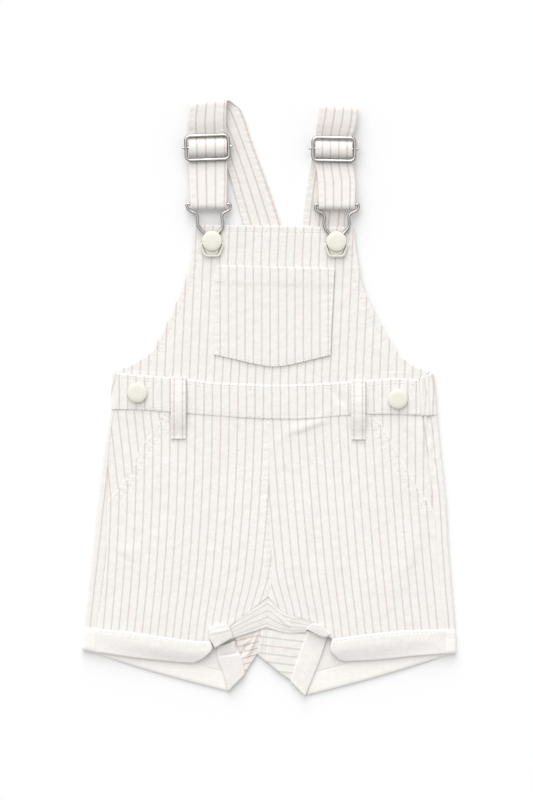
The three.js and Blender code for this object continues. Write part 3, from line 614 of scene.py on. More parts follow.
def from_line(line, x, y):
    """Distance of points from a line of [x, y] points, and how far along it their nearest point lies."""
    nearest, along, travelled = np.full(np.shape(x), 1e9), np.zeros(np.shape(x)), 0.0
    for (ax, ay), (bx, by) in zip(line[:-1], line[1:]):
        length = np.hypot(bx - ax, by - ay)
        part = np.clip(((x - ax) * (bx - ax) + (y - ay) * (by - ay)) / length**2, 0, 1)
        away = np.hypot(x - ax - part * (bx - ax), y - ay - part * (by - ay))
        along = np.where(away < nearest, travelled + part * length, along)
        nearest = np.minimum(nearest, away)
        travelled += length
    return nearest, along


def inset(points, distance, first=0.0, last=1.0):
    """A line of [x, y] points moved sideways to its left, between two shares of its length."""
    line = smooth_line(points, np.linspace(first, last, 60))
    slope = unit(np.gradient(line, axis=0))
    return line + distance * np.stack([-slope[:, 1], slope[:, 0]], -1)


def sewn(lines, x, y, depth=0.16, pucker=0.08):
    """Rise and fall of cloth by its rows of stitches: a bell-shaped trough along each row, and beside it
    puckers across the seam, a sine of the way along with a wandering phase that fades within 4 mm."""
    relief = 0
    for line in lines:
        away, along = from_line(line[::3], x, y)
        wave = np.sin(along * 1.15 + 1.9 * np.sin(along / 8.3) + np.sin(along / 3.7))
        relief = relief - depth * np.exp(-((away / 0.8) ** 2)) + pucker * wave * np.exp(-((away / 3.2) ** 2))
    return relief


def worn(x, y, seed=1):
    """Soft unevenness of laid cloth, in two sizes."""
    return 0.22 * rumple(x, y * 0.6, 17, seed) + 0.1 * rumple(x, y, 6, seed + 50)


thread_rows = []


def sew(lines, height, thickness):
    """Lays rows of stitches on a panel's top, at height(x, y) plus half its thickness."""
    for line in lines:
        x, y = line[:, 0], line[:, 1]
        thread_rows.append(np.stack([x, y, height(x, y, 0 * x, 0 * x) + thickness / 2 + 0 * x], -1))


opening_left = [[-78.6, -9.4], [-86, -23.5], [-94.1, -34.2], [-104, -52.7], [-111.1, -65.2], [-120.6, -77]]
opening_right = [[75.8, -10.4], [86.1, -23], [91, -31], [97.2, -43], [105, -56], [113.2, -70.4],
                 [123.4, -84.4]]
centre_seam = [[1, -14], [-0.3, -37], [-0.5, -65.5], [0.9, -91], [1.4, -142], [-0.9, -148.2]]
FRONT_LEGS = {
    "front_leg_left": {
        "left": [*opening_left, [-121.4, -90], [-121.7, -112], [-125.7, -148], [-129.2, -173.3]],
        "right": [[x + 0.2, y] for x, y in centre_seam],
        "top": [[-58.9, -10.7], [-33.8, -12.6]],
        "bottom": [[-111, -174.7], [-76.5, -179.5], [-53.6, -182.4], [-43, -181.7], [-28.5, -169.8],
                   [-14.2, -159]],
    },
    "front_leg_right": {
        "left": [[x - 0.2, y] for x, y in centre_seam],
        "right": [*opening_right, [125.8, -111], [129, -148], [132.4, -173.7]],
        "top": [[23.2, -14.6], [61, -11.6]],
        "bottom": [[10.7, -160], [27.2, -165.8], [34, -168.4], [46.6, -179.4], [58, -178.9],
                   [70.8, -177.6], [99.5, -174.6]],
    },
}
LEG_SEAMS = {
    "front_leg_left": [inset(opening_left, 1.6), inset(opening_left, 6.2), inset(centre_seam, -2, 0, 0.95)],
    "front_leg_right": [inset(opening_right, -1.6), inset(opening_right, -6.2)],
}
LEG_STRIPES = {
    "front_leg_left": {"start": -61.6, "lean": 0, "curve": -0.00039, "pitch": 6.34, "narrowing": 0.0027},
    "front_leg_right": {"start": 52.4, "lean": 0.055, "curve": 0.00019, "pitch": 6.19, "narrowing": 0.0006},
}


def leg_stripes(course):
    """Stripes that run down the leg and bend outwards: one stripe's place is start + lean * d + curve * d^2
    at the depth d below the waistband, and the others lie at a pitch that narrows with the depth. Beside
    the crotch they are drawn outwards by the folded inseam."""
    def place(x, y, u, v):
        depth = -y - 19
        first = course["start"] + course["lean"] * depth + course["curve"] * depth**2
        flare = np.sign(course["start"]) * 9 * np.exp(-np.abs(x) / 24) * smoothstep(depth, 98, 150) ** 2
        return (x - first - flare) / (course["pitch"] - course["narrowing"] * depth) * STRIPE_PITCH, y
    return place


for name, edges in FRONT_LEGS.items():
    seams = LEG_SEAMS[name]

    def leg_height(x, y, u, v, seams=seams):
        return front_height(x, y) + worn(x, y) + sewn(seams, x, y)

    panel_piece(name, height=leg_height, spacing=1.25, stripes=leg_stripes(LEG_STRIPES[name]),
                rests_on=["back_leg_left", "back_leg_right"], **edges)
    sew(seams, leg_height, CLOTH)

# The pocket facings: pieces of the same twill sewn behind the slanted openings, which show between the
# opening and the side seam. Their stripes lean with the hip.
FACINGS = {
    "pocket_facing_left": {
        "left": [[-117, -7.4], [-120.6, -37], [-121.2, -50], [-121.8, -62], [-122.6, -80]],
        "right": [[-76, -8.4], [-83.6, -25], [-91.6, -36.6], [-101.6, -55], [-108.6, -69.4],
                  [-118.6, -82.4]],
    },
    "pocket_facing_right": {
        "left": [[73.4, -10.2], [83.4, -24.6], [88.4, -32.6], [94.6, -44.8], [102.4, -57.8], [110.2, -72.6],
                 [119.6, -88.4]],
        "right": [[114.6, -11], [119, -41.5], [120.9, -56], [124.4, -86]],
    },
}
FACING_STRIPES = {
    "pocket_facing_left": straight_stripes(-99.5, lean=-0.11, row=-23.5),
    "pocket_facing_right": straight_stripes(97.4),
}
FACING_DEPTH = 0.3


def facing_height(x, y, u, v):
    return front_height(x, y) - FACING_DEPTH + 0.6 * worn(x, y, 5)


for name, edges in FACINGS.items():
    panel_piece(name, height=facing_height, stripes=FACING_STRIPES[name], rests_on=["back_leg_left"],
                **edges)

# The front waistband: a strip folded double, topstitched along both edges and sewn between bib and legs.
waistband = {
    "left": [[-115.1, 19.6], [-115.7, 6], [-116.2, -8.2]],
    "right": [[112.4, 14.6], [113.9, 2], [113.6, -12.6]],
    "top": [[-88.1, 17.3], [-61.9, 15.2], [-43.9, 12.8], [-3.8, 10.8], [30.8, 11.2], [60.8, 13.2],
            [97.2, 15.6]],
    "bottom": [[-94.1, -8.7], [-58.9, -11.5], [-33.8, -13.5], [-3.8, -15.1], [23.2, -15.5], [61, -12.5],
               [86.1, -11.7]],
}
band_top = [waistband["left"][0], *waistband["top"], waistband["right"][0]]
band_bottom = [waistband["left"][-1], *waistband["bottom"], waistband["right"][-1]]
band_seams = [inset(band_top, -1.7), inset(band_top, -4), inset(band_bottom, 1.7)]


def band_height(x, y, u, v):
    fall = 0.5 * (1 - smoothstep(from_line(band_top, x, y)[0], 0, 2))
    return (front_height(x, y) - fall + (BAND_CLOTH - CLOTH) / 2 + 0.5 * worn(x, y, 9)
            + sewn(band_seams, x, y))


panel_piece("front_waistband", height=band_height, thickness=BAND_CLOTH, spacing=1.1, border=0.8,
            stripes=straight_stripes(2.2, stretch=1.036), rests_on=["back_waistband"], **waistband)
sew(band_seams, band_height, BAND_CLOTH)

# The front bib: a single striped panel with narrow turned hems at its top and along both armholes.
bib = {
    "left": [[-55.6, 130.3], [-56.8, 113], [-59.4, 99.5], [-63.1, 87.7], [-70.5, 69.9], [-81.8, 46.3],
             [-89, 34.5], [-96.1, 29.5], [-104.1, 25], [-116.6, 20.4]],
    "right": [[63.7, 128.5], [65.1, 112.9], [67.4, 98], [69.6, 86.2], [78.5, 65.5], [90, 44.8],
              [97.6, 33.5], [104.2, 27.5], [112.4, 23], [121.2, 20.2]],
    "bottom": [[-112, 17.6], [-88.1, 16.2], [-61.9, 14], [-43.9, 11.6], [-3.8, 9.6], [30.8, 10],
               [60.8, 12], [97.2, 14.4], [112, 14.4]],
}
bib_seams = [inset([bib["left"][0], bib["right"][0]], -4.2, 0.02, 0.98), inset(bib["left"], 4.6, 0.02, 0.8),
             inset(bib["right"], -4.6, 0.02, 0.8)]


def bib_height(x, y, u, v):
    return front_height(x, y) + 0.8 * worn(x, y, 13) + sewn(bib_seams, x, y)


panel_piece("front_bib", height=bib_height, spacing=1.2,
            stripes=straight_stripes(0.1, lean=0.047, row=102.5, stretch=1.01), **bib)
sew(bib_seams, bib_height, CLOTH)

# The bib pocket: a patch with a wide hem at its open top and a shallow point below, edge-stitched on.
POCKET_CLOTH = 1.0
SEAM_GAP = 0.3
pocket = {
    "left": [[-38.6, 99.9], [-40.6, 88.3], [-41.1, 59], [-41.3, 32.9]],
    "right": [[49.1, 97.6], [48, 76.3], [46.9, 54.5], [46.1, 32.6]],
    "bottom": [[-24, 29], [-15, 26.8], [2.2, 23.9], [14.2, 25], [27, 27.9]],
}
pocket_bottom = [pocket["left"][-1], *pocket["bottom"], pocket["right"][-1]]
pocket_seams = [
    inset([[-39.6, 88.2], [49, 85.3]], 0, 0.01, 0.99), inset(pocket["left"], 2.2),
    inset(pocket["right"], -2.2), inset(pocket_bottom, 2.2, 0.02, 0.98),
]


def pocket_height(x, y, u, v):
    lift = (CLOTH + POCKET_CLOTH) / 2 + SEAM_GAP
    mouth = 0.3 * np.sin(u * np.pi) * (1 - v) ** 3
    hem = 0.35 * smoothstep(y + 0.0327 * (x + 39.6), 85.2, 88.2)
    edge = 0.4 * (1 - smoothstep(from_line(pocket["right"], x, y)[0], 0, 8.8))
    relief = 0.6 * worn(x, y, 21) + sewn(pocket_seams, x, y)
    return front_height(x, y) + lift + mouth + hem + edge + relief


panel_piece("bib_pocket", height=pocket_height, thickness=POCKET_CLOTH, spacing=1.1,
            stripes=straight_stripes(0.75, stretch=1.015), rests_on=["front_bib"], **pocket)
sew(pocket_seams, pocket_height, POCKET_CLOTH)

# The belt loops: narrow folded strips, sewn at the waistband's top and again on the legs, standing off
# between so that they throw a small shadow.
LOOP_CLOTH = 1.2
LOOP_STRIPE = 3.06
LOOPS = {
    "belt_loop_left": {"x": -67.9, "width": 11.2, "top": 16.3, "bottom": -30.2},
    "belt_loop_right": {"x": 66.8, "width": 10.6, "top": 14, "bottom": -30.8},
}
on_band = BAND_CLOTH - CLOTH / 2 + SEAM_GAP + LOOP_CLOTH / 2
on_leg = CLOTH / 2 + SEAM_GAP + LOOP_CLOTH / 2
for name, loop in LOOPS.items():
    half_width = loop["width"] / 2
    edges = [[[loop["x"] + side * half_width, loop[end]] for end in ("top", "bottom")] for side in (-1, 1)]
    seams = [inset(edges[0], 1.5), inset(edges[1], -1.5),
             inset([edges[0][1], edges[1][1]], 2.2, 0.1, 0.9),
             inset([edges[0][0], edges[1][0]], -2.2, 0.1, 0.9)]

    def loop_height(x, y, u, v, loop=loop, seams=seams):
        share = (loop["top"] - y) / (loop["top"] - loop["bottom"])
        lift = on_band + (on_leg - on_band) * smoothstep(share, 0.62, 0.95)
        arch = 1.9 * np.sin(np.minimum(share / 0.92, 1) * np.pi)
        on_cloth = smoothstep(share, 0.62, 0.95) * worn(x, y)
        return front_height(x, y) + lift + arch + on_cloth + sewn(seams, x, y, 0.2, 0.05)

    panel_piece(name, *edges, height=loop_height, thickness=LOOP_CLOTH, spacing=0.8,
                stripes=straight_stripes(loop["x"] - LOOP_STRIPE), rests_on=["front_waistband"])
    sew(seams, loop_height, LOOP_CLOTH)

# The front cuffs: the legs' ends turned up outwards once, so that the plain reverse shows. Their upper
# edge is stitched down, and a faint trace of the stripes shows through.
CUFF_CLOTH = 2.1
CUFFS = {
    "front_cuff_left": {
        "left": [[-129.2, -172.3], [-129.6, -190]],
        "right": [[-43.5, -181.8], [-42.3, -187], [-49.8, -194.6], [-57.4, -198.1]],
        "top": [[-111, -173.7], [-76.5, -178.5], [-53.6, -181.4]],
        "bottom": [[-101.4, -194], [-72.8, -196.9]],
    },
    "front_cuff_right": {
        "left": [[47.2, -179.6], [46, -187.9], [51.7, -194.6], [56.4, -196.6]],
        "right": [[132.4, -172.8], [132.9, -191.1]],
        "top": [[58, -178.3], [70.8, -176.6], [99.5, -173.6]],
        "bottom": [[80.2, -195.6], [109, -192.8]],
    },
}
for name, edges in CUFFS.items():
    cuff_top = [edges["left"][0], *edges["top"], edges["right"][0]]
    seams = [inset(cuff_top, -1.6, 0.02, 0.96)]

    def cuff_height(x, y, u, v, seams=seams, cuff_top=cuff_top):
        fall = 0.95 * (front_height(x, y) - SEAM_HEIGHT) * smoothstep(v, 0.3, 1)
        fall = fall + 0.25 * (1 - smoothstep(from_line(cuff_top, x, y)[0], 0, 3))
        return (front_height(x, y) - fall + (CUFF_CLOTH - CLOTH) / 2 + 0.7 * worn(x, y, 31)
                + sewn(seams, x, y))

    panel_piece(name, height=cuff_height, thickness=CUFF_CLOTH, spacing=0.9, border=1.1,
                slot="twill_reverse", looks=[plain_reverse], rests_on=["back_cuff_left", "back_cuff_right"],
                **edges)
    sew(seams, cuff_height, CUFF_CLOTH)

# The crotch: both inseams are folded up towards the viewer. Two arms of striped cloth run from the end of
# the centre seam, below them lie the back's inner legs, and at each side the turned hems stand up as tabs.
CROTCH = {
    "inseam_fold_left": {
        "z": [4.7, 3.9], "bulge": 0.3, "look": "striped", "grain": "down", "stretch": 33,
        "left": [[-28.6, -165.8], [-39.4, -185.2]], "right": [[-0.2, -144.4], [-0.4, -158], [-0.9, -171]],
        "bottom": [[-27, -179.5], [-6, -172.7]], "creases": [],
    },
    "inseam_fold_right": {
        "z": [4.7, 3.8], "bulge": 0.3, "look": "striped", "grain": "down", "stretch": 33,
        "left": [[-0.9, -144.4], [-1.2, -158], [-1.5, -171.6]], "right": [[35, -165.4], [27.4, -174.8]],
        "top": [[11.3, -156.3], [28.3, -161.8]], "bottom": [[12.8, -175.4]],
        "creases": [{"from": [8, -165], "to": [16, -171], "rise": 0.5, "spread": 1.6}],
    },
    "back_inseam_left": {
        "z": [2.6, 1.7], "bulge": 0, "look": "inner", "grain": "level", "lean": [1.3, -0.325, -194.2],
        "left": [[-26.5, -175], [-21.6, -192.4], [-18.2, -205.6]],
        "right": [[-4.4, -168.6], [-8.7, -190.9]], "bottom": [[-12.8, -197.2]],
        "creases": [
            {"from": [-9, -175], "to": [-16, -192], "rise": 1.3, "spread": 1.6},
            {"from": [-12, -178], "to": [-19, -184], "rise": 0.6, "spread": 1.4},
            {"from": [-17, -183], "to": [-21, -193], "rise": -1, "spread": 2.4},
        ],
    },
    "back_inseam_right": {
        "z": [3.2, 2.05], "bulge": 0.3, "look": "striped", "grain": "level", "lean": [1, 0.12, -185.1],
        "left": [[-5.6, -169.4], [-9, -191]], "right": [[29.3, -171.4], [22.5, -193.5], [16.2, -211]],
        "bottom": [[-4.8, -194.8], [1.5, -199.9], [8.6, -206]],
        "creases": [
            {"from": [-5, -172], "to": [-6.5, -190], "rise": 0.9, "spread": 1.1},
            {"from": [-1.5, -174], "to": [-2.5, -192], "rise": -0.6, "spread": 1.1},
            {"from": [1.5, -174], "to": [2, -190], "rise": 0.5, "spread": 1.3},
        ],
    },
    "low_cuff_tab_left": {
        "z": [3, 2.4], "bulge": 0.2, "look": "plain", "grain": "down", "stretch": 34,
        "left": [[-39.2, -185.4], [-38.5, -195.1], [-34.5, -205.2], [-30.9, -219.5]],
        "right": [[-25.6, -181.4], [-24.8, -187.9], [-21.3, -192.2], [-19, -200.9], [-18, -206.5]],
        "creases": [{"from": [-39, -193.4], "to": [-22, -190.6], "rise": -0.7, "spread": 1.8}],
    },
    "low_cuff_tab_right": {
        "z": [2.9, 2.3], "bulge": 0.3, "look": "plain", "grain": "across", "stretch": 14,
        "left": [[28.3, -173.8], [21.5, -193.7], [15.8, -211.7]],
        "right": [[43.7, -177.8], [39.4, -192.2], [27.2, -223.1]], "creases": [],
    },
    "top_cuff_tab_left": {
        "z": [7, 6.6], "bulge": 0.5, "look": "plain", "grain": "across", "stretch": 14,
        "left": [[-45.3, -172.2], [-44.6, -179.3], [-40.3, -186.5]],
        "right": [[-29.5, -170.8], [-27, -178.6]],
        "top": [[-39.5, -168.6], [-32.4, -168.6]],
        "creases": [{"from": [-44, -176], "to": [-29, -172.5], "rise": 0.4, "spread": 1.4}],
    },
    "top_cuff_tab_right": {
        "z": [6.9, 6.6], "bulge": 0.3, "look": "plain", "grain": "across", "stretch": 12,
        "left": [[32.2, -167.9], [27.2, -172.2]], "right": [[38.7, -168.6], [46.5, -176.5]],
        "bottom": [[31.5, -174.3], [41.5, -178.6]], "creases": [],
    },
}
# The back's inner leg below the left inseam fold gets a darker, browner copy of the twill that stands in for
# the shade in that hollow: painted shade.
painted_shade_inner_twill = twill_look(
    "inner_leg_painted_shade_twill", linear(237, 232, 226), linear(192, 168, 161), linear(186, 173, 163), 0.9)
FOLD_LOOKS = {"striped": striped_twill, "plain": plain_reverse, "inner": painted_shade_inner_twill}
for name, fold in CROTCH.items():
    plain = fold["look"] == "plain"

    def fold_height(x, y, u, v, fold=fold):
        high, low = fold["z"]
        return (high + (low - high) * v + fold["bulge"] * np.sin(u * np.pi) * np.sin(v * np.pi)
                + 0.12 * rumple(x * 1.3, y, 5, 40) + folds(fold["creases"], x, y))

    def fold_stripes(x, y, u, v, fold=fold):
        if fold["grain"] == "level":
            scale, slope, first = fold["lean"]
            return -scale * (y - first) - slope * x, x
        if fold["grain"] == "down":
            return v * fold["stretch"] + 1.5, u * 40
        return u * fold["stretch"], v * 40

    panel_piece(name, fold["left"], fold["right"], fold_height, fold.get("top", ()), fold.get("bottom", ()),
                thickness=BACK_CUFF_CLOTH if plain else CLOTH, spacing=0.7, border=0.9 if plain else 0.7,
                stripes=fold_stripes, slot="twill_reverse" if plain else "striped_twill",
                looks=[FOLD_LOOKS[fold["look"]]], rests_on=["back_leg_left"])

# The straps: striped cloth folded double and edge-stitched. Each comes from the back bib, rolls over at
# the top, goes under the slider's wire and over its bar, round the hook's bar and back up to the slider.
STRAP_CLOTH = 1.6
LIE = STRAP_CLOTH / 2
HOOK_HEIGHT = 4.8
SLIDER_HEIGHT = 6.9
SLIDER_BAR_HEIGHT = 6.0
BAR_THICKNESS = 2.0
FRAME_THICKNESS = 2.3
ROLL_RADIUS = 2.8
OVER = BAR_THICKNESS / 2 + SEAM_GAP + STRAP_CLOTH / 2
UNDER = FRAME_THICKNESS / 2 + SEAM_GAP + STRAP_CLOTH / 2 + 0.15
ABOVE_BAR = SLIDER_BAR_HEIGHT + OVER
BELOW_WIRE = SLIDER_HEIGHT - UNDER
STRAPS = {
    "strap_left": [
        {"left": [-9.4, 95.3], "right": [19.1, 95.3], "z": LIE},
        {"left": [-19.4, 130.7], "right": [9.4, 130.7], "z": LIE},
        {"left": [-29.8, 167.8], "right": [-3, 167.8], "z": LIE},
        {"left": [-37.5, 191], "right": [-11.6, 191], "z": LIE},
        {"left": [-45.2, 206.5], "right": [-17.2, 208.6], "z": LIE},
        {"left": [-59.2, 219], "right": [-31.6, 221.6], "z": ROLL_RADIUS + LIE, "fold": ROLL_RADIUS,
         "start": [10.5, 4]},
        {"left": [-60.6, 207.5], "right": [-32.2, 208.3], "z": 6},
        {"left": [-60.4, 197], "right": [-31.8, 197.9], "z": BELOW_WIRE, "rest": 1.4},
        {"left": [-60, 187.4], "right": [-31.5, 188.2], "z": ABOVE_BAR, "rest": 3},
        {"left": [-60, 178.4], "right": [-31.2, 179.3], "z": BELOW_WIRE, "rest": 1.4},
        {"left": [-59.6, 164], "right": [-31.4, 164], "z": 5.6},
        {"left": [-58.8, 144.8], "right": [-31.8, 144.8], "z": HOOK_HEIGHT, "fold": OVER, "start": [0, 0]},
        {"left": [-59.4, 164], "right": [-31.6, 164], "z": 2.7},
        {"left": [-60, 184.6], "right": [-31.8, 184.6], "z": 2.7},
    ],
    "strap_right": [
        {"left": [20.6, 95.3], "right": [52.1, 95.3], "z": LIE},
        {"left": [24.5, 129.7], "right": [56.2, 129.7], "z": LIE},
        {"left": [28.4, 160], "right": [58.6, 160], "z": LIE},
        {"left": [33, 188], "right": [61.8, 188], "z": LIE},
        {"left": [36.4, 207.6], "right": [64.6, 206.6], "z": LIE},
        {"left": [37.6, 217.2], "right": [66, 215.5], "z": ROLL_RADIUS + LIE, "fold": ROLL_RADIUS,
         "start": [0, 0]},
        {"left": [35.8, 206.5], "right": [65.2, 206], "z": 6},
        {"left": [34.6, 195.3], "right": [62.4, 194.7], "z": BELOW_WIRE, "rest": 1.4},
        {"left": [34.7, 186.8], "right": [62.3, 186.4], "z": ABOVE_BAR, "rest": 3},
        {"left": [34.8, 178], "right": [62.4, 177.6], "z": BELOW_WIRE, "rest": 1.4},
        {"left": [36.6, 163], "right": [64.6, 163], "z": 5.6},
        {"left": [37.2, 144.6], "right": [64.2, 144.6], "z": HOOK_HEIGHT, "fold": OVER, "start": [0, 0]},
        {"left": [37, 163], "right": [64.6, 163], "z": 2.7},
        {"left": [35, 183.8], "right": [62.6, 183.4], "z": 2.7},
    ],
}


def strap_rails(course):
    """The left and right edge of a strap as points: each fold is a half circle about its middle, up and over
    at the top and down and under at the hook, and rest keeps the strap level on both sides of a wire."""
    rails = [[], []]
    for stop in course:
        for rail, (x, y) in zip(rails, (stop["left"], stop["right"])):
            if "fold" in stop:
                up = 1 if stop["left"][1] > 180 else -1
                turn = np.linspace(0, np.pi, 9)
                drift = (1 - turn / np.pi) ** 2
                rail += np.stack([x + stop["start"][0] * drift,
                                  y + up * stop["fold"] * np.sin(turn) - stop["start"][1] * drift,
                                  stop["z"] - up * stop["fold"] * np.cos(turn)], -1).tolist()
            else:
                rest = stop.get("rest", 0)
                rail += [[x, y + step, stop["z"]] for step in ([rest, -rest] if rest else [0])]
    return rails


def bells(across, places, spread):
    """Sum of the bells exp(-((across - place) / spread)^2) about the places."""
    return sum(np.exp(-(((across - place) / spread) ** 2)) for place in places)


STRAP_STEPS = 420
STRAP_SEAM = 2.6
STRAP_BORDER = 0.8
THREAD_SEAT = 0.78
STRAP_STRIPES = {"strap_left": (-1.4, 1.11), "strap_right": (-2.7, 1.06)}
# The straps get a darker copy of the striped twill, toned down for the light on the straps: painted shade.
# Its stripes are also stronger.
strap_painted_shade_twill = twill_look(
    "strap_painted_shade_twill", linear(238.5, 234.5, 230.5), linear(208, 188, 186), linear(200, 195, 188), 0.9)
for name, course in STRAPS.items():
    shares = np.linspace(0, 1, STRAP_STEPS)
    shares[:4] = shares[3] * np.array([0, 0.1, 0.35, 0.65])
    shares[-4:] = 1 - (1 - shares[-4]) * np.array([1, 0.65, 0.35, 0])
    left_rail, right_rail = (smooth_line(rail, shares) for rail in strap_rails(course))
    for rail in (left_rail, right_rail):
        rail[:, 2] = np.maximum(rail[:, 2], LIE)
    width = np.linalg.norm(right_rail - left_rail, axis=1).mean()
    u = border_shares(width, 1.0, STRAP_BORDER)
    middle = left_rail[:, None] + (right_rail - left_rail)[:, None] * u[None, :, None]
    across, way = np.meshgrid(u * width, travelled(left_rail))
    seams = (STRAP_SEAM, width - STRAP_SEAM)
    pucker = np.sin(way * 1.2 + np.sin(way / 6)) * bells(across, seams, 2.4)
    half = LIE * (1 - 0.22 * bells(across, seams, 0.7) + 0.09 * pucker) * roundness(u, width, STRAP_BORDER)
    half[[0, -1]] = 0
    half[[1, -2]] *= 0.6
    first, stretch = STRAP_STRIPES[name]
    cloth = np.stack([(across - width / 2 - first) / stretch, way], -1)
    piece = closed_sheet(name, middle[:, ::-1], half[:, ::-1], cloth[:, ::-1], [strap_painted_shade_twill])
    declare_cloth(name, middle)
    slope = np.gradient(middle[2:-2], axis=0)
    for seam in seams:
        index = np.abs(u * width - seam).argmin()
        normal = unit(np.cross(slope[:, index], (right_rail - left_rail)[2:-2]))
        thread_rows.append(middle[2:-2, index] - normal * LIE * THREAD_SEAT)

# The topstitching: off-white cotton thread in short stitches that sink into the cloth at both ends.
STITCH_LENGTH = 2.5
STITCH_GAP = 0.7
STITCH_RISE = 0.26
STITCH_SEAT = 0.16
THREAD_RADIUS = 0.24
thread_look, start = new_look("cotton_thread")
fibres = clouds(start.make("TexCoord", output=3), 5200.0, 2.0)
finish_look(start, {
    "Base Color": mix(fibres, linear(243, 239, 234), linear(229, 224, 218)), "Roughness": 0.8,
    "Sheen Weight": 0.2, "Normal": bump(fibres, 0.4, 0.0001)})

ring = np.linspace(0, 2 * np.pi, 6, endpoint=False)
span = np.linspace(0, 1, 6)
stitch_points, stitch_quads, made = [], [], 0
for row in thread_rows:
    length = travelled(row)[-1]
    number = int(length / (STITCH_LENGTH + STITCH_GAP))
    begin = (np.arange(number) + 0.15) * length / max(number, 1)
    line = points_at(row, begin[:, None] + span * STITCH_LENGTH)
    slope = unit(np.gradient(line, axis=1))
    side = unit(np.cross(slope, [0, 0, 1.0]), TINY)
    up = np.cross(side, slope)
    radius = THREAD_RADIUS * np.sqrt(np.sin(np.pi * (0.06 + 0.88 * span)))[None, :, None, None]
    line = line + up * (STITCH_RISE * np.sin(np.pi * span) - STITCH_SEAT)[None, :, None]
    points = line[:, :, None] + radius * (np.cos(ring)[:, None] * side[:, :, None]
                                          + np.sin(ring)[:, None] * up[:, :, None])
    stitch_points.append(points.reshape(-1, 3))
    first = made + (np.arange(number) * len(span) * len(ring))[:, None, None]
    i, j = np.arange(len(span) - 1)[:, None] * len(ring), np.arange(len(ring))
    k = (j + 1) % len(ring)
    near, far = first + i, first + i + len(ring)
    quads = np.stack([near + j, far + j, far + k, near + k], -1)
    last = (len(span) - 1) * len(ring)
    caps = [first[:, 0] + np.array(corners) for corners in (
        [0, 1, 2, 3], [0, 3, 4, 5], [last + 3, last + 2, last + 1, last],
        [last + 5, last + 4, last + 3, last])]
    stitch_quads += [quads.reshape(-1, 4), *caps]
    made += number * len(span) * len(ring)
topstitching = mesh_piece("topstitching", np.vstack(stitch_points), np.vstack(stitch_quads), [thread_look])

# The sliders: nickel-plated steel wire bent to a frame with round corners, and a bar across its middle
# whose ends lap over the frame's sides. The wire's colour is painted bright on top and near black down both
# sides, by how far it faces upwards: painted reflection and painted shade.
nickel, start = new_look("nickel_wire")
place = start.make("TexCoord", output=3)
scratches = clouds(place, 900.0, 4.0, 0.7)
tarnish = clouds(place, 160.0, 3.0)
upward = start.make("SeparateXYZ", inputs={0: start.make("UVMap", {"uv_map": "cloth"})})
# Painted reflection and painted shade: the colour is bright where the wire faces upwards and dark down its
# sides.
painted_reflection_share = ramp(upward + (tarnish - 0.5) * 0.3, 0.58, 0.97)
finish_look(start, {
    "Base Color": mix(painted_reflection_share, (0.12, 0.106, 0.098, 1), (0.76, 0.725, 0.7, 1)), "Metallic": 1.0,
    "Roughness": scratches * 0.2 + 0.2, "Normal": bump(scratches, 0.12, 0.00006)})
WIRE_SIDES = 16
WIRE_END = np.array([0.02, 0.5, 0.8, 0.95])


def wire(name, route, radius, closed, looks):
    """A round wire along a level route: at each point a circle in the plane of the route's normal and Z. An
    open wire narrows to a round end over its last steps. Its map holds how far each point faces upwards."""
    count = len(route)
    slope = np.gradient(np.vstack([route[-1:], route, route[:1]]) if closed else route, axis=0)
    slope = slope[1:-1] if closed else slope
    side = unit(np.cross(unit(slope), [0, 0, 1.0]))
    turn = np.linspace(0, 2 * np.pi, WIRE_SIDES, endpoint=False)
    size = np.full(count, radius)
    if not closed:
        size[:4] = size[-1:-5:-1] = radius * WIRE_END
    circle = np.cos(turn)[:, None] * side[:, None] + np.sin(turn)[:, None] * np.array([0, 0, 1.0])
    points = route[:, None] + size[:, None, None] * circle
    i, j = np.arange(count if closed else count - 1)[:, None], np.arange(WIRE_SIDES)
    here, after, beside = i * WIRE_SIDES, (i + 1) % count * WIRE_SIDES, (j + 1) % WIRE_SIDES
    quads = np.stack([here + j, here + beside, after + beside, after + j], -1).reshape(-1, 4)
    facing = np.tile(np.stack([np.sin(turn), np.cos(turn)], -1), (count, 1))
    piece = mesh_piece(name, points.reshape(-1, 3), quads, looks, facing)
    return piece


SLIDERS = {
    "slider_left": {"x": -46.2, "y": 187.8, "width": 34.3, "height": 20.4, "tilt": 2},
    "slider_right": {"x": 48.4, "y": 186.6, "width": 33.6, "height": 19.5, "tilt": -1},
}
CORNER = 3.4
BAR_REACH = 2
BAR_SHIFT = 0.4
BAR_SHARE = 0.9
BAR_END = np.array([0, 0.15, 0.4, 0.7])
for name, slider in SLIDERS.items():
    width, height = slider["width"] - FRAME_THICKNESS, slider["height"] - FRAME_THICKNESS
    turn = np.linspace(0, 2 * np.pi, 96, endpoint=False)
    quarter = np.floor(turn / (np.pi / 2)).astype(int)
    side_x = np.where((quarter == 0) | (quarter == 3), 1, -1)
    side_y = np.where(quarter < 2, 1, -1)
    outline = np.stack([side_x * (width / 2 - CORNER) + CORNER * np.cos(turn),
                        side_y * (height / 2 - CORNER) + CORNER * np.sin(turn), 0 * turn], -1)
    tilt = np.radians(slider["tilt"])
    spin = np.array([[np.cos(tilt), -np.sin(tilt), 0], [np.sin(tilt), np.cos(tilt), 0], [0, 0, 1]])
    centre = np.array([slider["x"], slider["y"], SLIDER_HEIGHT])
    frame_wire = wire(name + "_frame", outline @ spin.T + centre, FRAME_THICKNESS / 2, True, [nickel])
    reach = slider["width"] / 2 + BAR_REACH
    bar_x = np.concatenate([BAR_END - reach, np.linspace(1 - reach, reach - 1, 12), reach - BAR_END[::-1]])
    bar = np.stack([bar_x, 0 * bar_x + BAR_SHIFT, 0 * bar_x + SLIDER_BAR_HEIGHT - SLIDER_HEIGHT], -1)
    wire(name + "_bar", bar @ spin.T + centre, BAR_SHARE * BAR_THICKNESS / 2, False, [nickel])
    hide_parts(name)

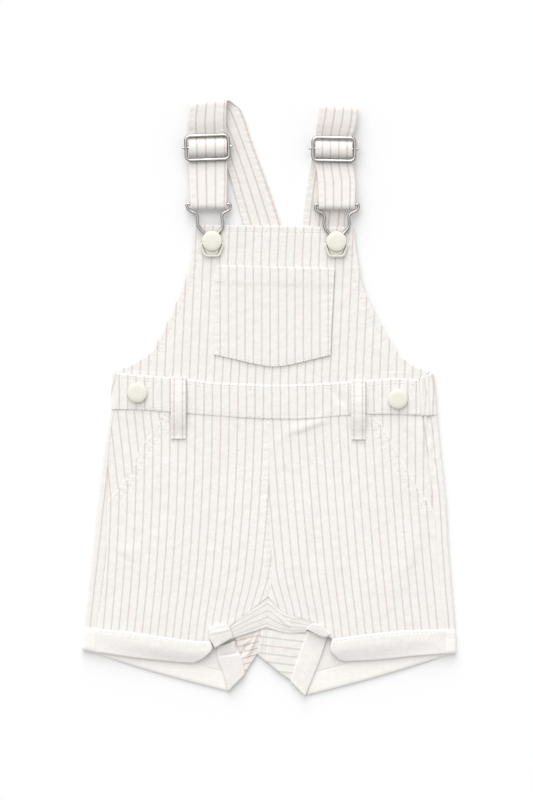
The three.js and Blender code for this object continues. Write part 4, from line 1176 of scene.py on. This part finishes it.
# The hooks: one nickel-plated wire each, with a straight bar in the strap's fold, shoulders that draw in
# to a neck, and a lower loop that catches under the button and is dipped in cream enamel. Above the
# button the wire leans a little.
enamel, start = new_look("cream_enamel")
place = start.make("TexCoord", output=3)
speckle = clouds(place, 1400.0, 2.0)
finish_look(start, {
    "Base Color": mix(clouds(place, 210.0, 2.0), linear(238, 236, 225), linear(231, 228, 215)),
    "Roughness": speckle * 0.15 + 0.32, "Coat Weight": 0.25, "Coat Roughness": 0.2,
    "Normal": bump(speckle, 0.15, 0.00008)})

BIB_BUTTONS = {"left": (-42.7, 118), "right": (50.4, 117.7)}
HOOK_LEANS = {"left": -2.6, "right": 0.3}
HOOK_BAR = 26.8
HOOK_FOOT = -10.9
DIP_LINE = -1.5
HOOK_STEPS = 241
HOOK_SIDE = [
    [0, HOOK_BAR], [7, HOOK_BAR], [12.6, 27], [14.9, 27.9], [16.3, 27.2], [15.6, 24], [13.6, 22.4],
    [11.2, 21.4], [9.7, 20], [9.1, 17.8], [9.4, 15], [9.4, 12.2], [8.4, 9.6], [6.2, 7], [4.2, 5], [3.4, 3],
    [4.4, 1], [6.6, -0.6], [8.1, -2.8], [7.4, -5.2], [6.3, -8.2], [5.2, -10.2], [3.6, HOOK_FOOT],
]
for side, (x, y) in BIB_BUTTONS.items():
    mirrored = [[-dx, up] for dx, up in HOOK_SIDE[:0:-1]]
    outline = [*HOOK_SIDE, [0, HOOK_FOOT], *mirrored, HOOK_SIDE[0]]
    loop = smooth_line(outline, np.linspace(0, 1, HOOK_STEPS)[:-1])
    loop[:, 0] += HOOK_LEANS[side] * np.maximum(loop[:, 1], 0) / HOOK_BAR
    route = np.column_stack([loop + np.array([x, y]), np.full(len(loop), HOOK_HEIGHT)])
    hook = wire("hook_wire_" + side, route[::-1], BAR_THICKNESS / 2, True, [nickel, enamel])
    dipped = np.repeat(loop[::-1, 1] < DIP_LINE, WIRE_SIDES).astype(np.int32)
    hook.data.polygons.foreach_set("material_index", dipped)
    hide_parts("hook_" + side)

# The hook plates: small cream-enamelled plates that close each hook's lower loop under the button.
PLATE_WIDTH = 12
PLATE_DEPTH = 7
PLATE_THICKNESS = 0.8
PLATE_BORDER = 0.3
PLATE_RISE = 0.3
for side, (x, y) in BIB_BUTTONS.items():
    u, v = (border_shares(size, 0.5, PLATE_BORDER) for size in (PLATE_WIDTH, PLATE_DEPTH))
    flat = panel_grid([[-6.9, -2.8], [-4, -9.6]], [[6.9, -2.8], [4, -9.6]], [[0, -4.8]], [[0, -10.4]], u, v)
    level = np.full(flat.shape[:2], HOOK_HEIGHT + PLATE_RISE)
    middle = np.stack([flat[..., 0] + x, flat[..., 1] + y, level], -1)
    half = (PLATE_THICKNESS / 2 * roundness(v, PLATE_DEPTH, PLATE_BORDER)[:, None]
            * roundness(u, PLATE_WIDTH, PLATE_BORDER))
    plate = closed_sheet("plate_" + side, middle, half, flat, [enamel])
    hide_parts("hook_plate_" + side)

# The buttons: shank buttons with a slightly domed, cream-enamelled cap. Two hold the hooks on the bib and
# two close the waistband.
BUTTONS = {"bib_button_" + side: place for side, place in BIB_BUTTONS.items()}
BUTTONS |= {"waist_button_left": (-98.6, 4.6), "waist_button_right": (96.4, -0.1)}
CAP_RADIUS = 7.4
CAP_THICKNESS = 2.0
WAIST_NECK = 0.9
RIM_ROUND = 0.55
RIM_HEIGHT = 1.05
GROOVE = {"radius": 6.2, "depth": 0.12, "width": 0.28}
LATHE_STEPS = 48


def lathe(name, profile, centre, look):
    """A turned solid: a profile of radius and height, from the axis back to the axis, carried round Z."""
    profile = np.asarray(profile, float)
    turn = np.linspace(0, 2 * np.pi, LATHE_STEPS, endpoint=False)
    rings = profile[1:-1]
    x, y = rings[:, :1] * np.cos(turn), rings[:, :1] * np.sin(turn)
    points = np.stack([x, y, rings[:, 1:] + 0 * turn], -1)
    poles = np.array([[0, 0, profile[0, 1]], [0, 0, profile[-1, 1]]])
    points = np.vstack([points.reshape(-1, 3), poles]) + np.asarray(centre)
    i, j = np.arange(len(rings) - 1)[:, None] * LATHE_STEPS, np.arange(LATHE_STEPS)
    beside = (j + 1) % LATHE_STEPS
    quads = np.stack([i + j, i + beside, i + LATHE_STEPS + beside, i + LATHE_STEPS + j], -1).reshape(-1, 4)
    pole = len(rings) * LATHE_STEPS
    even = np.arange(0, LATHE_STEPS, 2)
    after, last = (even + 2) % LATHE_STEPS, pole - LATHE_STEPS
    low = np.stack([0 * even + pole, after, even + 1, even], -1)
    high = np.stack([0 * even + pole + 1, last + even, last + even + 1, last + after], -1)
    piece = mesh_piece(name, points, np.vstack([quads, low, high]), [look])
    return piece


for name, (x, y) in BUTTONS.items():
    on_bib = name.startswith("bib")
    cloth_top = CLOTH / 2 if on_bib else BAND_CLOTH - CLOTH / 2
    foot = float(front_height(np.array(x), np.array(y))) + cloth_top + SEAM_GAP
    neck = HOOK_HEIGHT + BAR_THICKNESS / 2 + SEAM_GAP - foot if on_bib else WAIST_NECK
    turn = np.linspace(0, np.pi / 2, 5)
    rim = np.stack([CAP_RADIUS - RIM_ROUND + RIM_ROUND * np.sin(turn),
                    neck + RIM_ROUND - RIM_ROUND * np.cos(turn)], -1)
    turn = np.linspace(0.04, np.pi / 2, 16)[:-1]
    across = CAP_RADIUS * np.cos(turn)
    groove = GROOVE["depth"] * np.exp(-(((across - GROOVE["radius"]) / GROOVE["width"]) ** 2))
    rise = (CAP_THICKNESS - RIM_HEIGHT) * np.sqrt(1 - np.cos(turn) ** 4)
    dome = np.stack([across, neck + RIM_HEIGHT + rise - groove], -1)
    profile = [[0, 0], [2.8, 0], [3, 0.15], [2.6, 0.4], [2.1, 0.5], [2.1, neck], *rim, *dome,
               [0, neck + CAP_THICKNESS]]
    button = lathe(name + "_cap", profile, (x, y, foot), enamel)
    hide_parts(name)
